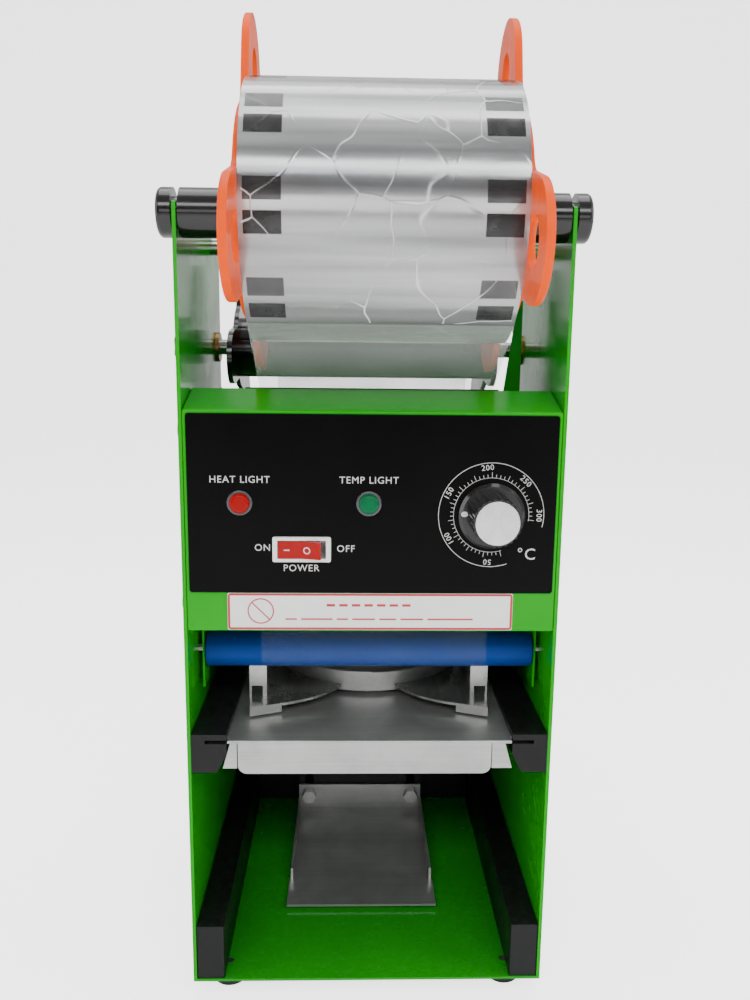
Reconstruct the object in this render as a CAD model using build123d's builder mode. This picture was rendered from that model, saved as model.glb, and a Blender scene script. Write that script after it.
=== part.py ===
"""Hand-operated cup sealing machine, modelled as an assembly of separate pieces.

Frame: +X right, -Y towards the person who uses it, +Z up. The origin is the
centre of the machine's bounding box in X and Y, on the surface it stands on.
A "depth" is a distance behind the front edges of the two side plates.
"""
import os
from math import acos, asin, atan2, cos, hypot, pi, radians, sin, sqrt, tan

from build123d import *

os.makedirs("parts", exist_ok=True)

# ---------------------------------------------------------------- driving sizes (mm)
body_width = 203.0
side_sheet = 2.0
side_height = 445.5          # top edge of the side plates above the floor
body_depth = 208.0           # lower body
upper_depth = 144.0          # side plates above the shoulder
shoulder_low = 322.0
shoulder_high = 346.0
foot_height = 8.0
foot_radius = 11.5
foot_inset_x = 19.5
foot_inset_y = 16.0
foot_taper = 1.5
foot_recess = 3.0            # pocket in the sole that hides the screw head
foot_round = 1.2
base_sheet = 1.5
bar_width = 16.0
bar_height = 33.5
bar_set_back = 0.5
bar_round = 0.8
fit_gap = 0.3                # loose clearance between bodies
run_gap = 0.05               # radial clearance of a running fit
top_corner_round = 3.0
shoulder_round = 12.0

# back cover, its vents and the cord's gland
vent_height = 250.0
vent_columns = 8
vent_rows = 3
vent_pitch_x = 12.0
vent_pitch_z = 16.0
vent_slot = 8.0
vent_width = 3.0
gland_x = -70.0
gland_height = 40.0
gland_radius = 6.5
gland_gap = 0.1
gland_inside = 8.0
gland_outside = 12.0
gland_nut_margin = 3.5
gland_nut_height = 5.0
cord_radius = 3.6

# film roll, its shaft and the two clover-shaped discs that centre it
roll_depth = 12.0
roll_height = 440.5
shaft_radius = 12.5
shaft_neck_radius = 8.0
shaft_neck_width = 3.6
shaft_cap = 8.5
shaft_cap_round = 2.5
film_radius = 64.0
film_width = 130.0
film_offset_x = 2.5
core_outer = 42.0
core_inner = 38.0
disc_thickness = 4.0
disc_lobe_centre = 75.0
disc_lobe_radius = 27.5
disc_middle_radius = 53.0
disc_blend_radius = 15.0
disc_hole_radius = 13.0
disc_hole_squash = 1.5
disc_hole_inset = 1.0
disc_round = 1.3
disc_first_lobe = -15.0      # degrees above the forward direction
disc_plug_depth = 12.0
disc_plug_wall = 6.0
disc_hub_wall = 4.0

# take-up reel for the punched film
reel_depth = 130.0
reel_height = 372.0
reel_shaft_radius = 5.0
reel_core_radius = 19.0
reel_lobe_centre = 40.0
reel_lobe_radius = 16.0
reel_middle_radius = 26.0
reel_blend_radius = 8.0
reel_first_lobe = -8.0
reel_disc_thickness = 3.0
reel_left_x = -86.0
reel_right_x = 73.0
reach_out = 23.0             # how far the lever grip and the reel knob stand out from the body
reel_knob_radius = 17.0
reel_knob_length = 14.0
reel_knob_face = 3.0         # solid end of the knob
reel_knob_flutes = 12
reel_flute_offset = 1.2
reel_flute_radius = 3.0
reel_shaft_step = 1.0
reel_shaft_overhang = 3.0
reel_hub_radius = 11.0
reel_hub_width = 5.5

tie_rod_depth = 112.0
tie_rod_height = 434.0
tie_rod_radius = 6.0
edge_chamfer = 0.8

# control box
box_low = 222.0
box_high = 341.5
box_depth = 26.0
box_lip_depth = 31.0
box_lip_height = 351.0
box_sheet = 1.5
box_back_drop = 3.0
box_front_round = 1.4
box_end_round = 1.2
wire_slot_x = (-80.0, 0.0, 80.0)
wire_slot_half = 12.0
wire_slot_margin = 4.0
panel_width = 195.0
panel_margin = 1.6           # box edge left bare above the overlay
panel_round = 1.5
panel_low = 244.0
panel_sheet = 0.8
label_width = 154.0
label_height = 20.5
label_centre_x = -0.5
label_rise = 0.3
label_sheet = 0.4
label_round = 1.0
lamp_height = 293.0
lamp_x = (-70.0, -2.0)
lamp_radius = 5.4
lamp_bezel_radius = 6.8
lamp_hole_radius = 5.0
lamp_gap = 0.2
lamp_in = 20.0
lamp_out = 3.4
lamp_dome = 2.6
lamp_round = 2.0
bezel_out = 1.6
bezel_round = 0.6
bezel_nut_margin = 0.6
bezel_nut_height = 3.0
switch_x = -37.5
switch_height = 268.0
switch_width = 31.0
switch_tall = 13.6
switch_tilt = 8.0
switch_flange_x = 1.5
switch_flange_z = 1.0
switch_gap = 0.2
switch_out = 1.8
switch_in = 19.0
switch_round = 1.0
switch_chamfer = 0.5
switch_pivot = 4.0
switch_pocket = 12.9
switch_pocket_depth = 12.0
blade_x = (-8.0, 0.0, 8.0)
blade_half_width = 3.0
blade_half_sheet = 0.4
blade_length = 5.0
rocker_half = 11.75
rocker_tall = 9.2
rocker_out = 2.6
rocker_heel = 3.5
rocker_root = 4.0
rocker_round = 0.5
knob_x = 63.0
knob_height = 287.0
knob_skirt_radius = 17.6
knob_grip_radius = 12.6
knob_length = 21.0
spindle_radius = 3.0
knob_gap = 0.5
knob_skirt = 4.0
knob_skirt_chamfer = 1.6
knob_flutes = 24
knob_flute_offset = 1.1
knob_flute_radius = 1.6
knob_bore = 15.0
cap_sheet = 1.0
cap_inset = 1.2
cap_round = 0.5
thermostat_hole = 5.0
thermostat_half_x = 17.0
thermostat_half_z = 15.0
thermostat_deep = 18.0
thermostat_round = 3.0
thermostat_boss_radius = 8.0
thermostat_boss = 2.0
spindle_out = 14.0

terminal_half = 30.0
terminal_depth = 12.0
terminal_low = 218.0
terminal_tall = 10.0
terminal_pitch = 12.0
terminal_hole = 2.4

# film path
film_thickness = 0.3
roller_depth = 38.0
roller_height = 199.0
roller_radius = 10.5
roller_length = 190.0
roller_spindle_radius = 3.0
rear_roller_depth = 192.0
rear_roller_radius = 8.0
slit_depth = 33.6
slit_height = 352.0
strip_half = 70.0
strip_sheet = 1.2
strip_drop = 9.0
strip_rise = 0.6
strip_round = 0.5
roller_chamfer = 0.6
bracket_gap = 0.6
bracket_sheet = 1.2
bracket_half = 8.0
bracket_low = 178.0
bracket_rise = 13.0

# drawer, its rails and the ring that holds the cup
rail_width = 19.7
rail_low = 139.5
rail_high = 162.0
rail_end_gap = 1.0
rail_groove = 12.0
rail_notch_height = 150.0
rail_notch_width = 5.5
drawer_top = 158.3
drawer_sheet = 1.5
drawer_end_gap = 3.0
drawer_offset_x = -1.0
drawer_lip_height = 19.5
drawer_lip_left = -73.5
drawer_lip_right = 68.0
flange_top_x = 75.5
flange_low_x = 80.0
flange_low_z = 141.0
flange_sheet = 1.2
flange_set_back = 2.0
flange_short = 6.0           # flanges end this far short of the plate
tongue_gap = 0.8
tongue_start = 6.0
plate_gap = 0.5
plate_round = 1.2
lip_sheet = 1.5
lip_round = 5.0
lip_bite = 0.3
tab_gap = 0.8
drawer_hole_margin = 2.0
ring_depth = 124.5
ring_outer = 60.0
ring_bore = 45.5
ring_seat = 48.3
ring_seat_depth = 3.0
ring_high = 174.0
gasket_height = 1.6
gasket_gap = 0.1
ring_round = 1.0
ring_step_radius = 52.0
ring_step = 2.0
wing_sheet = 1.5
wing_height = 165.0          # top face of the wings
wing_post_top = 185.6
wing_toe = (17.0, 64.8)      # corners of one wing as (X, depth)
wing_heel = (17.0, 80.0)
wing_tip_outer = (70.0, 29.5)
wing_tip_inner = (52.0, 36.5)
wing_bow = (36.8, 43.5)
wing_tab_skew = (0.4, 1.4)
wing_tab_gap = 1.2
wing_back = 118.0
wing_outer = 72.0
wing_gap = 1.6               # side wall's distance from the ring
post_depth = 47.0
window_top = 171.5
window_inset_near = 1.0
window_inset_far = 1.2

# sealing head and its drive
head_travel = 18.0
plate_radius = 46.0
plate_low = 192.3
plate_thick = 12.0
cutter_radius = 49.5
cutter_wall = 2.0
cutter_gap = 0.6
cutter_chamfer = 1.4
carriage_low = 214.0
carriage_thick = 7.0
carriage_half_x = 74.0
carriage_half_y = 24.0
carriage_round = 6.0
post_x = 28.0
post_y = 13.0
post_radius = 4.0
cartridge_radius = 4.0
cartridge_y = 22.0
cartridge_end_x = 32.0
cartridge_inset = 8.0
bridge_low = 236.0
bridge_thick = 10.0
bridge_front = 98.0
bridge_back = 172.0
window_half = 12.0
window_front = 108.0
window_gap = 3.0
rod_x = 62.0
rod_radius = 6.0
rod_top = 290.0
rod_step = 1.0
collar_height = 6.0
collar_radius = 10.0
spring_radius = 9.0
spring_wire = 1.8
spring_turns = 6
spring_gap = 0.1
bush_wall = 2.5
bush_flange = 2.0
tooth_module = 2.0
pinion_teeth = 16
pinion_width = 14.0
backlash = 0.35
pressure_degrees = 20.0
rack_half_width = 5.0
rack_thick = 9.0
axle_depth = 145.0
axle_height = 262.0
axle_radius = 7.0
axle_overhang = 2.5
hub_half = 5.5
hub_radius = 13.0
arm_radius = 5.0
arm_in_grip = 6.0
lever_length = 168.0
lever_lean = 30.0            # degrees the lever leans back from upright at rest
grip_radius = 10.0
cover_low = 214.0
cover_top = 308.0
cover_front_depth = 46.0
cover_rear_depth = 182.0
cover_top_back = 162.0
cover_slope_height = 245.0
cover_sheet = 1.5
cover_tab = 6.0               # half width of the tabs the cover is screwed by

# height-adjustable cup rest
rest_x = -3.0
rest_width = 96.0
rest_front_depth = 63.0
rest_pan_depth = 90.0
rest_rear_depth = 190.0
rest_wall = 12.0
rest_sheet = 1.5
rest_travel = 40.0
rest_plate_top = 118.0
rest_slot_x = 40.0
rest_slot_width = 6.6
rest_slot_spare = 0.5
rest_bracket_top = 31.0
rest_flange_rise = 2.0
rest_flange_margin = 1.0
rest_wall_short = 2.0
bolt_radius = 3.0
bolt_head_radius = 5.5
bolt_height = 22.5
bolt_head = 4.5
nut_height = 4.0
bolt_spare = 1.0

# bent sheet that stands beside the film, and the screws
upright_front = 84.0
upright_back = 118.0
upright_sheet = 1.5
upright_left = 81.3
upright_right = 91.6
upright_top = 402.0
upright_top_width = 3.0
upright_taper_start = 345.0
screw_radius = 2.0
screw_head_radius = 3.8
screw_head_height = 2.2
screw_length = 6.0
screw_hole_spare = 1.0

# ---------------------------------------------------------------- derived sizes
half_width = body_width / 2
screw_hole = screw_length + screw_hole_spare
inner_x = half_width - side_sheet
reach_x = half_width + reach_out
cover_face = body_depth - side_sheet
rail_length = cover_face - rail_end_gap
drawer_length = cover_face - drawer_end_gap
base_top = foot_height + base_sheet
pitch_radius = tooth_module * pinion_teeth / 2
lean = radians(lever_lean)
front_reach = disc_lobe_centre * cos(radians(disc_first_lobe)) + disc_lobe_radius - roll_depth
rear_reach = axle_depth + lever_length * sin(lean) + grip_radius
front_y = (front_reach - rear_reach) / 2
film_left = film_offset_x - film_width / 2
film_right = film_offset_x + film_width / 2


def depth(distance):
    """Y of a point that lies this far behind the side plates' front edges."""
    return front_y + distance


def block(x_range, depth_range, z_range, mode=Mode.ADD):
    """Add (or cut) a box given by its three ranges to the part being built."""
    x_low, x_high = x_range
    y_low, y_high = (depth(value) for value in depth_range)
    z_low, z_high = z_range
    with Locations(((x_low + x_high) / 2, (y_low + y_high) / 2, (z_low + z_high) / 2)):
        Box(x_high - x_low, y_high - y_low, z_high - z_low, mode=mode)


def rod_x_way(x_low, x_high, at_depth, height, radius, mode=Mode.ADD):
    """Add (or cut) a cylinder that runs along X."""
    with BuildSketch(Plane.YZ.offset(x_low)) as section:
        with Locations((depth(at_depth), height)):
            Circle(radius)
    extrude(section.sketch, amount=x_high - x_low, mode=mode)


def rod_y_way(x, height, depth_low, depth_high, radius, mode=Mode.ADD):
    """Add (or cut) a cylinder that runs from front to back."""
    with BuildSketch(Plane.XZ.offset(-depth(depth_low))) as section:
        with Locations((x, height)):
            Circle(radius)
    extrude(section.sketch, amount=-(depth_high - depth_low), mode=mode)


def rod_z_way(x, at_depth, z_low, z_high, radius, mode=Mode.ADD):
    """Add (or cut) an upright cylinder."""
    with BuildSketch(Plane.XY.offset(z_low)) as section:
        with Locations((x, depth(at_depth))):
            Circle(radius)
    extrude(section.sketch, amount=z_high - z_low, mode=mode)


def save(builder, name):
    """Label a finished sub-part and write it to its own STEP file."""
    builder.part.label = name
    export_step(builder.part, f"parts/{name}.step")


# ---------------------------------------------------------------- side plates
side_corners = [
    (depth(0), foot_height),
    (depth(body_depth), foot_height),
    (depth(body_depth), shoulder_low),
    (depth(upper_depth), shoulder_high),
    (depth(upper_depth), side_height),
    (depth(0), side_height),
]
rail_screws = [(30.0, 144.0), (165.0, 144.0)]
bar_screws = [(25.0, 26.0), (180.0, 26.0)]
box_screws = [(13.0, 235.0), (13.0, 330.0)]
bridge_screws = [(105.0, bridge_low + bridge_thick / 2), (165.0, bridge_low + bridge_thick / 2)]
cover_screws = [(70.0, 300.0), (150.0, 300.0)]
screw_places = rail_screws + bar_screws + box_screws + bridge_screws + cover_screws
neck_slot = shaft_neck_radius + fit_gap

for side, sign in (("left", -1), ("right", 1)):
    x_start = -half_width if sign < 0 else inner_x
    with BuildPart() as side_plate:
        with BuildSketch(Plane.YZ.offset(x_start)):
            with BuildLine():
                Polyline(*side_corners, close=True)
            make_face()
        extrude(amount=side_sheet)
        fillet(side_plate.edges().filter_by(Axis.X).group_by(Axis.Z)[-1], top_corner_round)
        rear_edges = side_plate.edges().filter_by(Axis.X).group_by(Axis.Y)[-1]
        fillet(rear_edges.sort_by(Axis.Z)[-1], shoulder_round)
        with BuildSketch(Plane.YZ.offset(x_start)):
            with Locations((depth(roll_depth), roll_height)):
                Circle(neck_slot)
            with Locations((depth(roll_depth), (roll_height + side_height) / 2 + neck_slot)):
                Rectangle(2 * neck_slot, side_height - roll_height + 2 * neck_slot)
            with Locations((depth(tie_rod_depth), tie_rod_height)):
                Circle(screw_radius)
            with Locations((depth(reel_depth), reel_height)):
                Circle(reel_shaft_radius + bush_wall)
            with Locations((depth(axle_depth), axle_height)):
                Circle(axle_radius + bush_wall)
            with Locations([(depth(d), z) for d, z in screw_places]):
                Circle(screw_radius)
        extrude(amount=side_sheet, mode=Mode.SUBTRACT)
    save(side_plate, f"side_plate_{side}")

# ---------------------------------------------------------------- base, bars, feet, back
foot_places = [
    (sx * (half_width - foot_inset_x), d)
    for sx in (-1, 1)
    for d in (foot_inset_y, body_depth - foot_inset_y)
]
with BuildPart() as base_plate:
    block((-inner_x, inner_x), (0, body_depth - side_sheet), (foot_height, base_top))
    for x, d in foot_places:
        rod_z_way(x, d, foot_height, base_top, screw_radius, Mode.SUBTRACT)
save(base_plate, "base_plate")

with BuildPart() as base_bars:
    for sign in (-1, 1):
        low, high = sorted((sign * inner_x, sign * (inner_x - bar_width)))
        block((low, high), (bar_set_back, rail_length), (base_top, base_top + bar_height))
        for d, z in bar_screws:
            rod_x_way(low, high, d, z, screw_radius, Mode.SUBTRACT)
    front_edges = base_bars.edges().group_by(Axis.Y)[0]
    fillet(front_edges, bar_round)
save(base_bars, "base_bars")

with BuildPart() as rubber_feet:
    for x, d in foot_places:
        with BuildSketch(Plane.XY):
            with Locations((x, depth(d))):
                Circle(foot_radius - foot_taper)
        with BuildSketch(Plane.XY.offset(foot_height)):
            with Locations((x, depth(d))):
                Circle(foot_radius)
        loft()
        rod_z_way(x, d, foot_recess, foot_height, screw_radius, Mode.SUBTRACT)
        rod_z_way(x, d, 0, foot_recess, screw_head_radius + fit_gap, Mode.SUBTRACT)
    sole_circles = rubber_feet.edges().filter_by(GeomType.CIRCLE).group_by(Axis.Z)[0]
    fillet(sole_circles.sort_by(SortBy.RADIUS)[-len(foot_places):], foot_round)
save(rubber_feet, "rubber_feet")

with BuildPart() as rear_cover:
    block((-inner_x, inner_x), (cover_face, body_depth), (foot_height, shoulder_low))
    rod_y_way(gland_x, gland_height, cover_face, body_depth, gland_radius + gland_gap, Mode.SUBTRACT)
    with BuildSketch(Plane.XZ.offset(-depth(cover_face))):
        with GridLocations(vent_pitch_x, vent_pitch_z, vent_columns, vent_rows):
            with Locations((0, vent_height)):
                SlotCenterToCenter(vent_slot, vent_width, rotation=90)
    extrude(amount=-side_sheet, mode=Mode.SUBTRACT)
save(rear_cover, "rear_cover")

gland_front = body_depth - gland_inside
gland_back = body_depth + gland_outside
with BuildPart() as cable_gland:
    rod_y_way(gland_x, gland_height, gland_front, gland_back, gland_radius)
    with BuildSketch(Plane.XZ.offset(-depth(body_depth))):
        with Locations((gland_x, gland_height)):
            RegularPolygon(gland_radius + gland_nut_margin, 6)
    extrude(amount=-gland_nut_height)
    rod_y_way(gland_x, gland_height, gland_front, gland_back, cord_radius, Mode.SUBTRACT)
save(cable_gland, "cable_gland")

# ---------------------------------------------------------------- film roll, discs and shaft
def clover(sketch, centre, lobe_centre, lobe_radius, middle_radius, blend_radius, first_lobe):
    """Draw three rounded lobes about a round middle in a (Y, Z) sketch."""
    with Locations(centre):
        Circle(middle_radius)
        with PolarLocations(lobe_centre / 2, 3, start_angle=180 - first_lobe):
            SlotCenterToCenter(lobe_centre, 2 * lobe_radius)
    corners = [
        corner
        for corner in sketch.vertices()
        if abs(hypot(corner.X - centre[0], corner.Y - centre[1]) - middle_radius) < 0.1
        and abs(corner.Y - centre[1]) > 0.5
    ]
    fillet(corners, blend_radius)


roll_centre = (depth(roll_depth), roll_height)
for side, sign, disc_face in (("left", -1, film_left), ("right", 1, film_right)):
    x_start = disc_face - disc_thickness if sign < 0 else disc_face
    plug_start = disc_face if sign < 0 else disc_face - disc_plug_depth
    with BuildPart() as film_disc:
        with BuildSketch(Plane.YZ.offset(x_start)) as outline:
            clover(
                outline, roll_centre, disc_lobe_centre, disc_lobe_radius,
                disc_middle_radius, disc_blend_radius, disc_first_lobe,
            )
            with Locations(roll_centre):
                with PolarLocations(disc_lobe_centre - disc_hole_inset, 3, start_angle=180 - disc_first_lobe):
                    Ellipse(disc_hole_radius, disc_hole_radius - disc_hole_squash, mode=Mode.SUBTRACT)
        extrude(amount=disc_thickness)
        curved_edges = film_disc.edges().filter_by(GeomType.LINE, reverse=True).group_by(Axis.X)
        fillet(curved_edges[-1 if sign > 0 else 0], disc_round)
        plug_end = plug_start + disc_plug_depth
        plug_bore = core_inner - disc_plug_wall
        rod_x_way(plug_start, plug_end, roll_depth, roll_height, core_inner - run_gap)
        rod_x_way(plug_start, plug_end, roll_depth, roll_height, plug_bore, Mode.SUBTRACT)
        rod_x_way(plug_start, plug_end, roll_depth, roll_height, shaft_radius + disc_hub_wall)
        rod_x_way(x_start - disc_plug_depth, x_start + 2 * disc_plug_depth, roll_depth, roll_height,
                  shaft_radius + run_gap, Mode.SUBTRACT)
    save(film_disc, f"film_disc_{side}")

with BuildPart() as film_core:
    rod_x_way(film_left, film_right, roll_depth, roll_height, core_outer)
    rod_x_way(film_left, film_right, roll_depth, roll_height, core_inner, Mode.SUBTRACT)
save(film_core, "film_core")

with BuildPart() as film_roll:
    rod_x_way(film_left, film_right, roll_depth, roll_height, film_radius)
    rod_x_way(film_left, film_right, roll_depth, roll_height, core_outer, Mode.SUBTRACT)
save(film_roll, "film_roll")

with BuildPart() as film_shaft:
    neck_centre = half_width - side_sheet / 2
    neck_in = neck_centre - shaft_neck_width / 2
    neck_out = neck_centre + shaft_neck_width / 2
    rod_x_way(-neck_out, neck_out, roll_depth, roll_height, shaft_neck_radius)
    rod_x_way(-neck_in, neck_in, roll_depth, roll_height, shaft_radius)
    rod_x_way(-half_width - shaft_cap, -neck_out, roll_depth, roll_height, shaft_radius)
    rod_x_way(neck_out, half_width + shaft_cap, roll_depth, roll_height, shaft_radius)
    fillet(film_shaft.edges().filter_by(GeomType.CIRCLE).group_by(Axis.X)[0], shaft_cap_round)
    fillet(film_shaft.edges().filter_by(GeomType.CIRCLE).group_by(Axis.X)[-1], shaft_cap_round)
save(film_shaft, "film_shaft")

# ---------------------------------------------------------------- take-up reel
reel_centre = (depth(reel_depth), reel_height)
knob_end_x = -reach_x + reel_knob_length
knob_bore_x = -reach_x + reel_knob_face
with BuildPart() as reel_shaft:
    rod_x_way(knob_end_x, half_width + reel_shaft_overhang, reel_depth, reel_height, reel_shaft_radius)
    rod_x_way(knob_bore_x, knob_end_x, reel_depth, reel_height, reel_shaft_radius - reel_shaft_step)
    chamfer(reel_shaft.edges().filter_by(GeomType.CIRCLE).group_by(Axis.X)[-1], edge_chamfer)
save(reel_shaft, "reel_shaft")

with BuildPart() as reel_core:
    rod_x_way(reel_left_x + reel_disc_thickness, reel_right_x, reel_depth, reel_height, reel_core_radius)
    rod_x_way(reel_left_x, reel_right_x, reel_depth, reel_height, reel_shaft_radius + run_gap, Mode.SUBTRACT)
save(reel_core, "reel_core")

with BuildPart() as reel_discs:
    left_end = reel_left_x - reel_hub_width
    right_start = reel_right_x + reel_disc_thickness
    for x_start, hub_start in ((reel_left_x, left_end), (reel_right_x, right_start)):
        with BuildSketch(Plane.YZ.offset(x_start)) as outline:
            clover(
                outline, reel_centre, reel_lobe_centre, reel_lobe_radius,
                reel_middle_radius, reel_blend_radius, reel_first_lobe,
            )
        extrude(amount=reel_disc_thickness)
        rod_x_way(hub_start, hub_start + reel_hub_width, reel_depth, reel_height, reel_hub_radius)
    rod_x_way(left_end, right_start + reel_hub_width, reel_depth, reel_height,
              reel_shaft_radius + run_gap, Mode.SUBTRACT)
save(reel_discs, "reel_discs")

with BuildPart() as reel_knob:
    with BuildSketch(Plane.YZ.offset(-reach_x)):
        with Locations(reel_centre):
            Circle(reel_knob_radius)
            with PolarLocations(reel_knob_radius + reel_flute_offset, reel_knob_flutes):
                Circle(reel_flute_radius, mode=Mode.SUBTRACT)
    extrude(amount=reel_knob_length)
    rod_x_way(knob_bore_x, knob_end_x, reel_depth, reel_height,
              reel_shaft_radius - reel_shaft_step + run_gap, Mode.SUBTRACT)
    chamfer(reel_knob.faces().sort_by(Axis.X)[0].edges(), edge_chamfer)
save(reel_knob, "reel_knob")

# ---------------------------------------------------------------- control box and what it carries
switch_half_x = switch_width / 2 - switch_flange_x
switch_half_z = switch_tall / 2 - switch_flange_z


def switch_block(depth_range, gap, mode=Mode.ADD):
    """Add (or cut) the block of the switch's body, smaller by a gap on each side."""
    block((switch_x - switch_half_x + gap, switch_x + switch_half_x - gap), depth_range,
          (switch_height - switch_half_z + gap, switch_height + switch_half_z - gap), mode)


box_outline = [
    (depth(0), box_low),
    (depth(box_depth), box_low),
    (depth(box_depth), box_high - box_back_drop),
    (depth(box_lip_depth), box_lip_height),
    (depth(0), box_high),
]
with BuildPart() as control_box:
    with BuildSketch(Plane.YZ.offset(-inner_x)):
        with BuildLine():
            Polyline(*box_outline, close=True)
        make_face()
    extrude(amount=2 * inner_x)
    with BuildSketch(Plane.YZ.offset(box_sheet - inner_x)):
        with BuildLine():
            Polyline(*box_outline, close=True)
        make_face()
        offset(amount=-box_sheet)
    extrude(amount=2 * (inner_x - box_sheet), mode=Mode.SUBTRACT)
    for d, z in box_screws:
        rod_x_way(-inner_x, inner_x, d, z, screw_radius, Mode.SUBTRACT)
    outer_front = control_box.edges().filter_by(Axis.X).group_by(Axis.Y)[0]
    fillet(outer_front, box_front_round)
    end_edges = control_box.faces().filter_by(Plane.XZ).sort_by(Axis.Y)[0].edges().filter_by(Axis.Z)
    fillet(end_edges, box_end_round)
    for x in lamp_x:
        rod_y_way(x, lamp_height, 0, box_sheet, lamp_hole_radius, Mode.SUBTRACT)
    switch_block((0, box_sheet), 0, Mode.SUBTRACT)
    rod_y_way(knob_x, knob_height, 0, box_sheet, thermostat_hole, Mode.SUBTRACT)
    for x in wire_slot_x:
        block((x - wire_slot_half, x + wire_slot_half), (wire_slot_margin, box_depth - wire_slot_margin),
              (box_low, box_low + box_sheet), Mode.SUBTRACT)
save(control_box, "control_box")

with BuildPart() as slot_strip:
    block((-strip_half, strip_half), (box_lip_depth, box_lip_depth + strip_sheet),
          (box_lip_height - strip_drop, box_lip_height + strip_rise))
    fillet(slot_strip.edges().filter_by(Axis.X).group_by(Axis.Z)[-1], strip_round)
save(slot_strip, "slot_strip")

with BuildPart() as control_panel:
    block((-panel_width / 2, panel_width / 2), (-panel_sheet, 0), (panel_low, box_high - panel_margin))
    fillet(control_panel.edges().filter_by(Axis.Y), panel_round)
    for x in lamp_x:
        rod_y_way(x, lamp_height, -panel_sheet, 0, lamp_hole_radius, Mode.SUBTRACT)
    switch_block((-panel_sheet, 0), 0, Mode.SUBTRACT)
    rod_y_way(knob_x, knob_height, -panel_sheet, 0, thermostat_hole, Mode.SUBTRACT)
save(control_panel, "control_panel")

label_low = (box_low + panel_low) / 2 - label_height / 2 + label_rise
with BuildPart() as blank_label:
    block((label_centre_x - label_width / 2, label_centre_x + label_width / 2), (-label_sheet, 0),
          (label_low, label_low + label_height))
    fillet(blank_label.edges().filter_by(Axis.Y), label_round)
save(blank_label, "blank_label")

front_face = -panel_sheet
lamp_names = ("heat_lamp", "ready_lamp")
for x, name in zip(lamp_x, lamp_names):
    with BuildPart() as lamp:
        rod_y_way(x, lamp_height, front_face - lamp_out, lamp_in, lamp_hole_radius - lamp_gap)
        with BuildSketch(Plane.XZ.offset(-depth(front_face - bezel_out))):
            with Locations((x, lamp_height)):
                Circle(lamp_radius)
        extrude(amount=lamp_dome)
        fillet(lamp.edges().filter_by(GeomType.CIRCLE).group_by(Axis.Y)[0], lamp_round)
    save(lamp, name)

with BuildPart() as lamp_bezels:
    for x in lamp_x:
        rod_y_way(x, lamp_height, front_face - bezel_out, front_face, lamp_bezel_radius)
        rod_y_way(x, lamp_height, front_face - bezel_out, front_face, lamp_hole_radius, Mode.SUBTRACT)
        with BuildSketch(Plane.XZ.offset(-depth(box_sheet))):
            with Locations((x, lamp_height)):
                RegularPolygon(lamp_bezel_radius + bezel_nut_margin, 6)
                Circle(lamp_hole_radius, mode=Mode.SUBTRACT)
        extrude(amount=-bezel_nut_height)
    front_circles = lamp_bezels.edges().filter_by(GeomType.CIRCLE).group_by(Axis.Y)[0]
    fillet(front_circles.sort_by(SortBy.RADIUS)[-len(lamp_x):], bezel_round)
save(lamp_bezels, "lamp_bezels")

# rocker switch: a frame with a pocket, and a rocker that tips about an upright pin
with BuildPart() as switch_housing:
    block((switch_x - switch_width / 2, switch_x + switch_width / 2), (front_face - switch_out, front_face),
          (switch_height - switch_tall / 2, switch_height + switch_tall / 2))
    fillet(switch_housing.edges().filter_by(Axis.Y), switch_round)
    chamfer(switch_housing.faces().sort_by(Axis.Y)[0].outer_wire().edges(), switch_chamfer)
    switch_block((front_face, switch_in), switch_gap)
    pocket_half = rocker_tall / 2 + fit_gap
    block((switch_x - switch_pocket, switch_x + switch_pocket),
          (front_face - switch_out, switch_pocket_depth),
          (switch_height - pocket_half, switch_height + pocket_half), Mode.SUBTRACT)
    for x in blade_x:
        block((switch_x + x - blade_half_sheet, switch_x + x + blade_half_sheet),
              (switch_in, switch_in + blade_length),
              (switch_height - blade_half_width, switch_height + blade_half_width))
save(switch_housing, "switch_housing")

rocker_front = front_face - rocker_out
rocker_rise = rocker_half * tan(radians(switch_tilt))
with BuildPart() as rocker:
    with BuildSketch(Plane.XY.offset(switch_height - rocker_tall / 2)):
        with BuildLine():
            Polyline(
                (-rocker_half, rocker_front - rocker_rise - switch_pivot),
                (0, rocker_front - switch_pivot),
                (rocker_half, rocker_front - rocker_rise - switch_pivot),
                (rocker_half - rocker_heel, rocker_root),
                (-rocker_half + rocker_heel, rocker_root),
                close=True,
            )
        make_face()
    extrude(amount=rocker_tall)
rocker_solid = Pos(switch_x, depth(switch_pivot), 0) * Rot(0, 0, -switch_tilt) * rocker.part
with BuildPart() as rocker:
    add(rocker_solid)
    fillet(rocker.edges().filter_by(Axis.Z), rocker_round)
save(rocker, "rocker")

with BuildPart() as thermostat_body:
    body_front = box_sheet + thermostat_boss
    block((knob_x - thermostat_half_x, knob_x + thermostat_half_x),
          (body_front, body_front + thermostat_deep),
          (knob_height - thermostat_half_z, knob_height + thermostat_half_z))
    fillet(thermostat_body.edges().filter_by(Axis.Y), thermostat_round)
    rod_y_way(knob_x, knob_height, box_sheet, body_front, thermostat_boss_radius)
    rod_y_way(knob_x, knob_height, front_face - spindle_out, body_front, spindle_radius)
save(thermostat_body, "thermostat_body")

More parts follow.
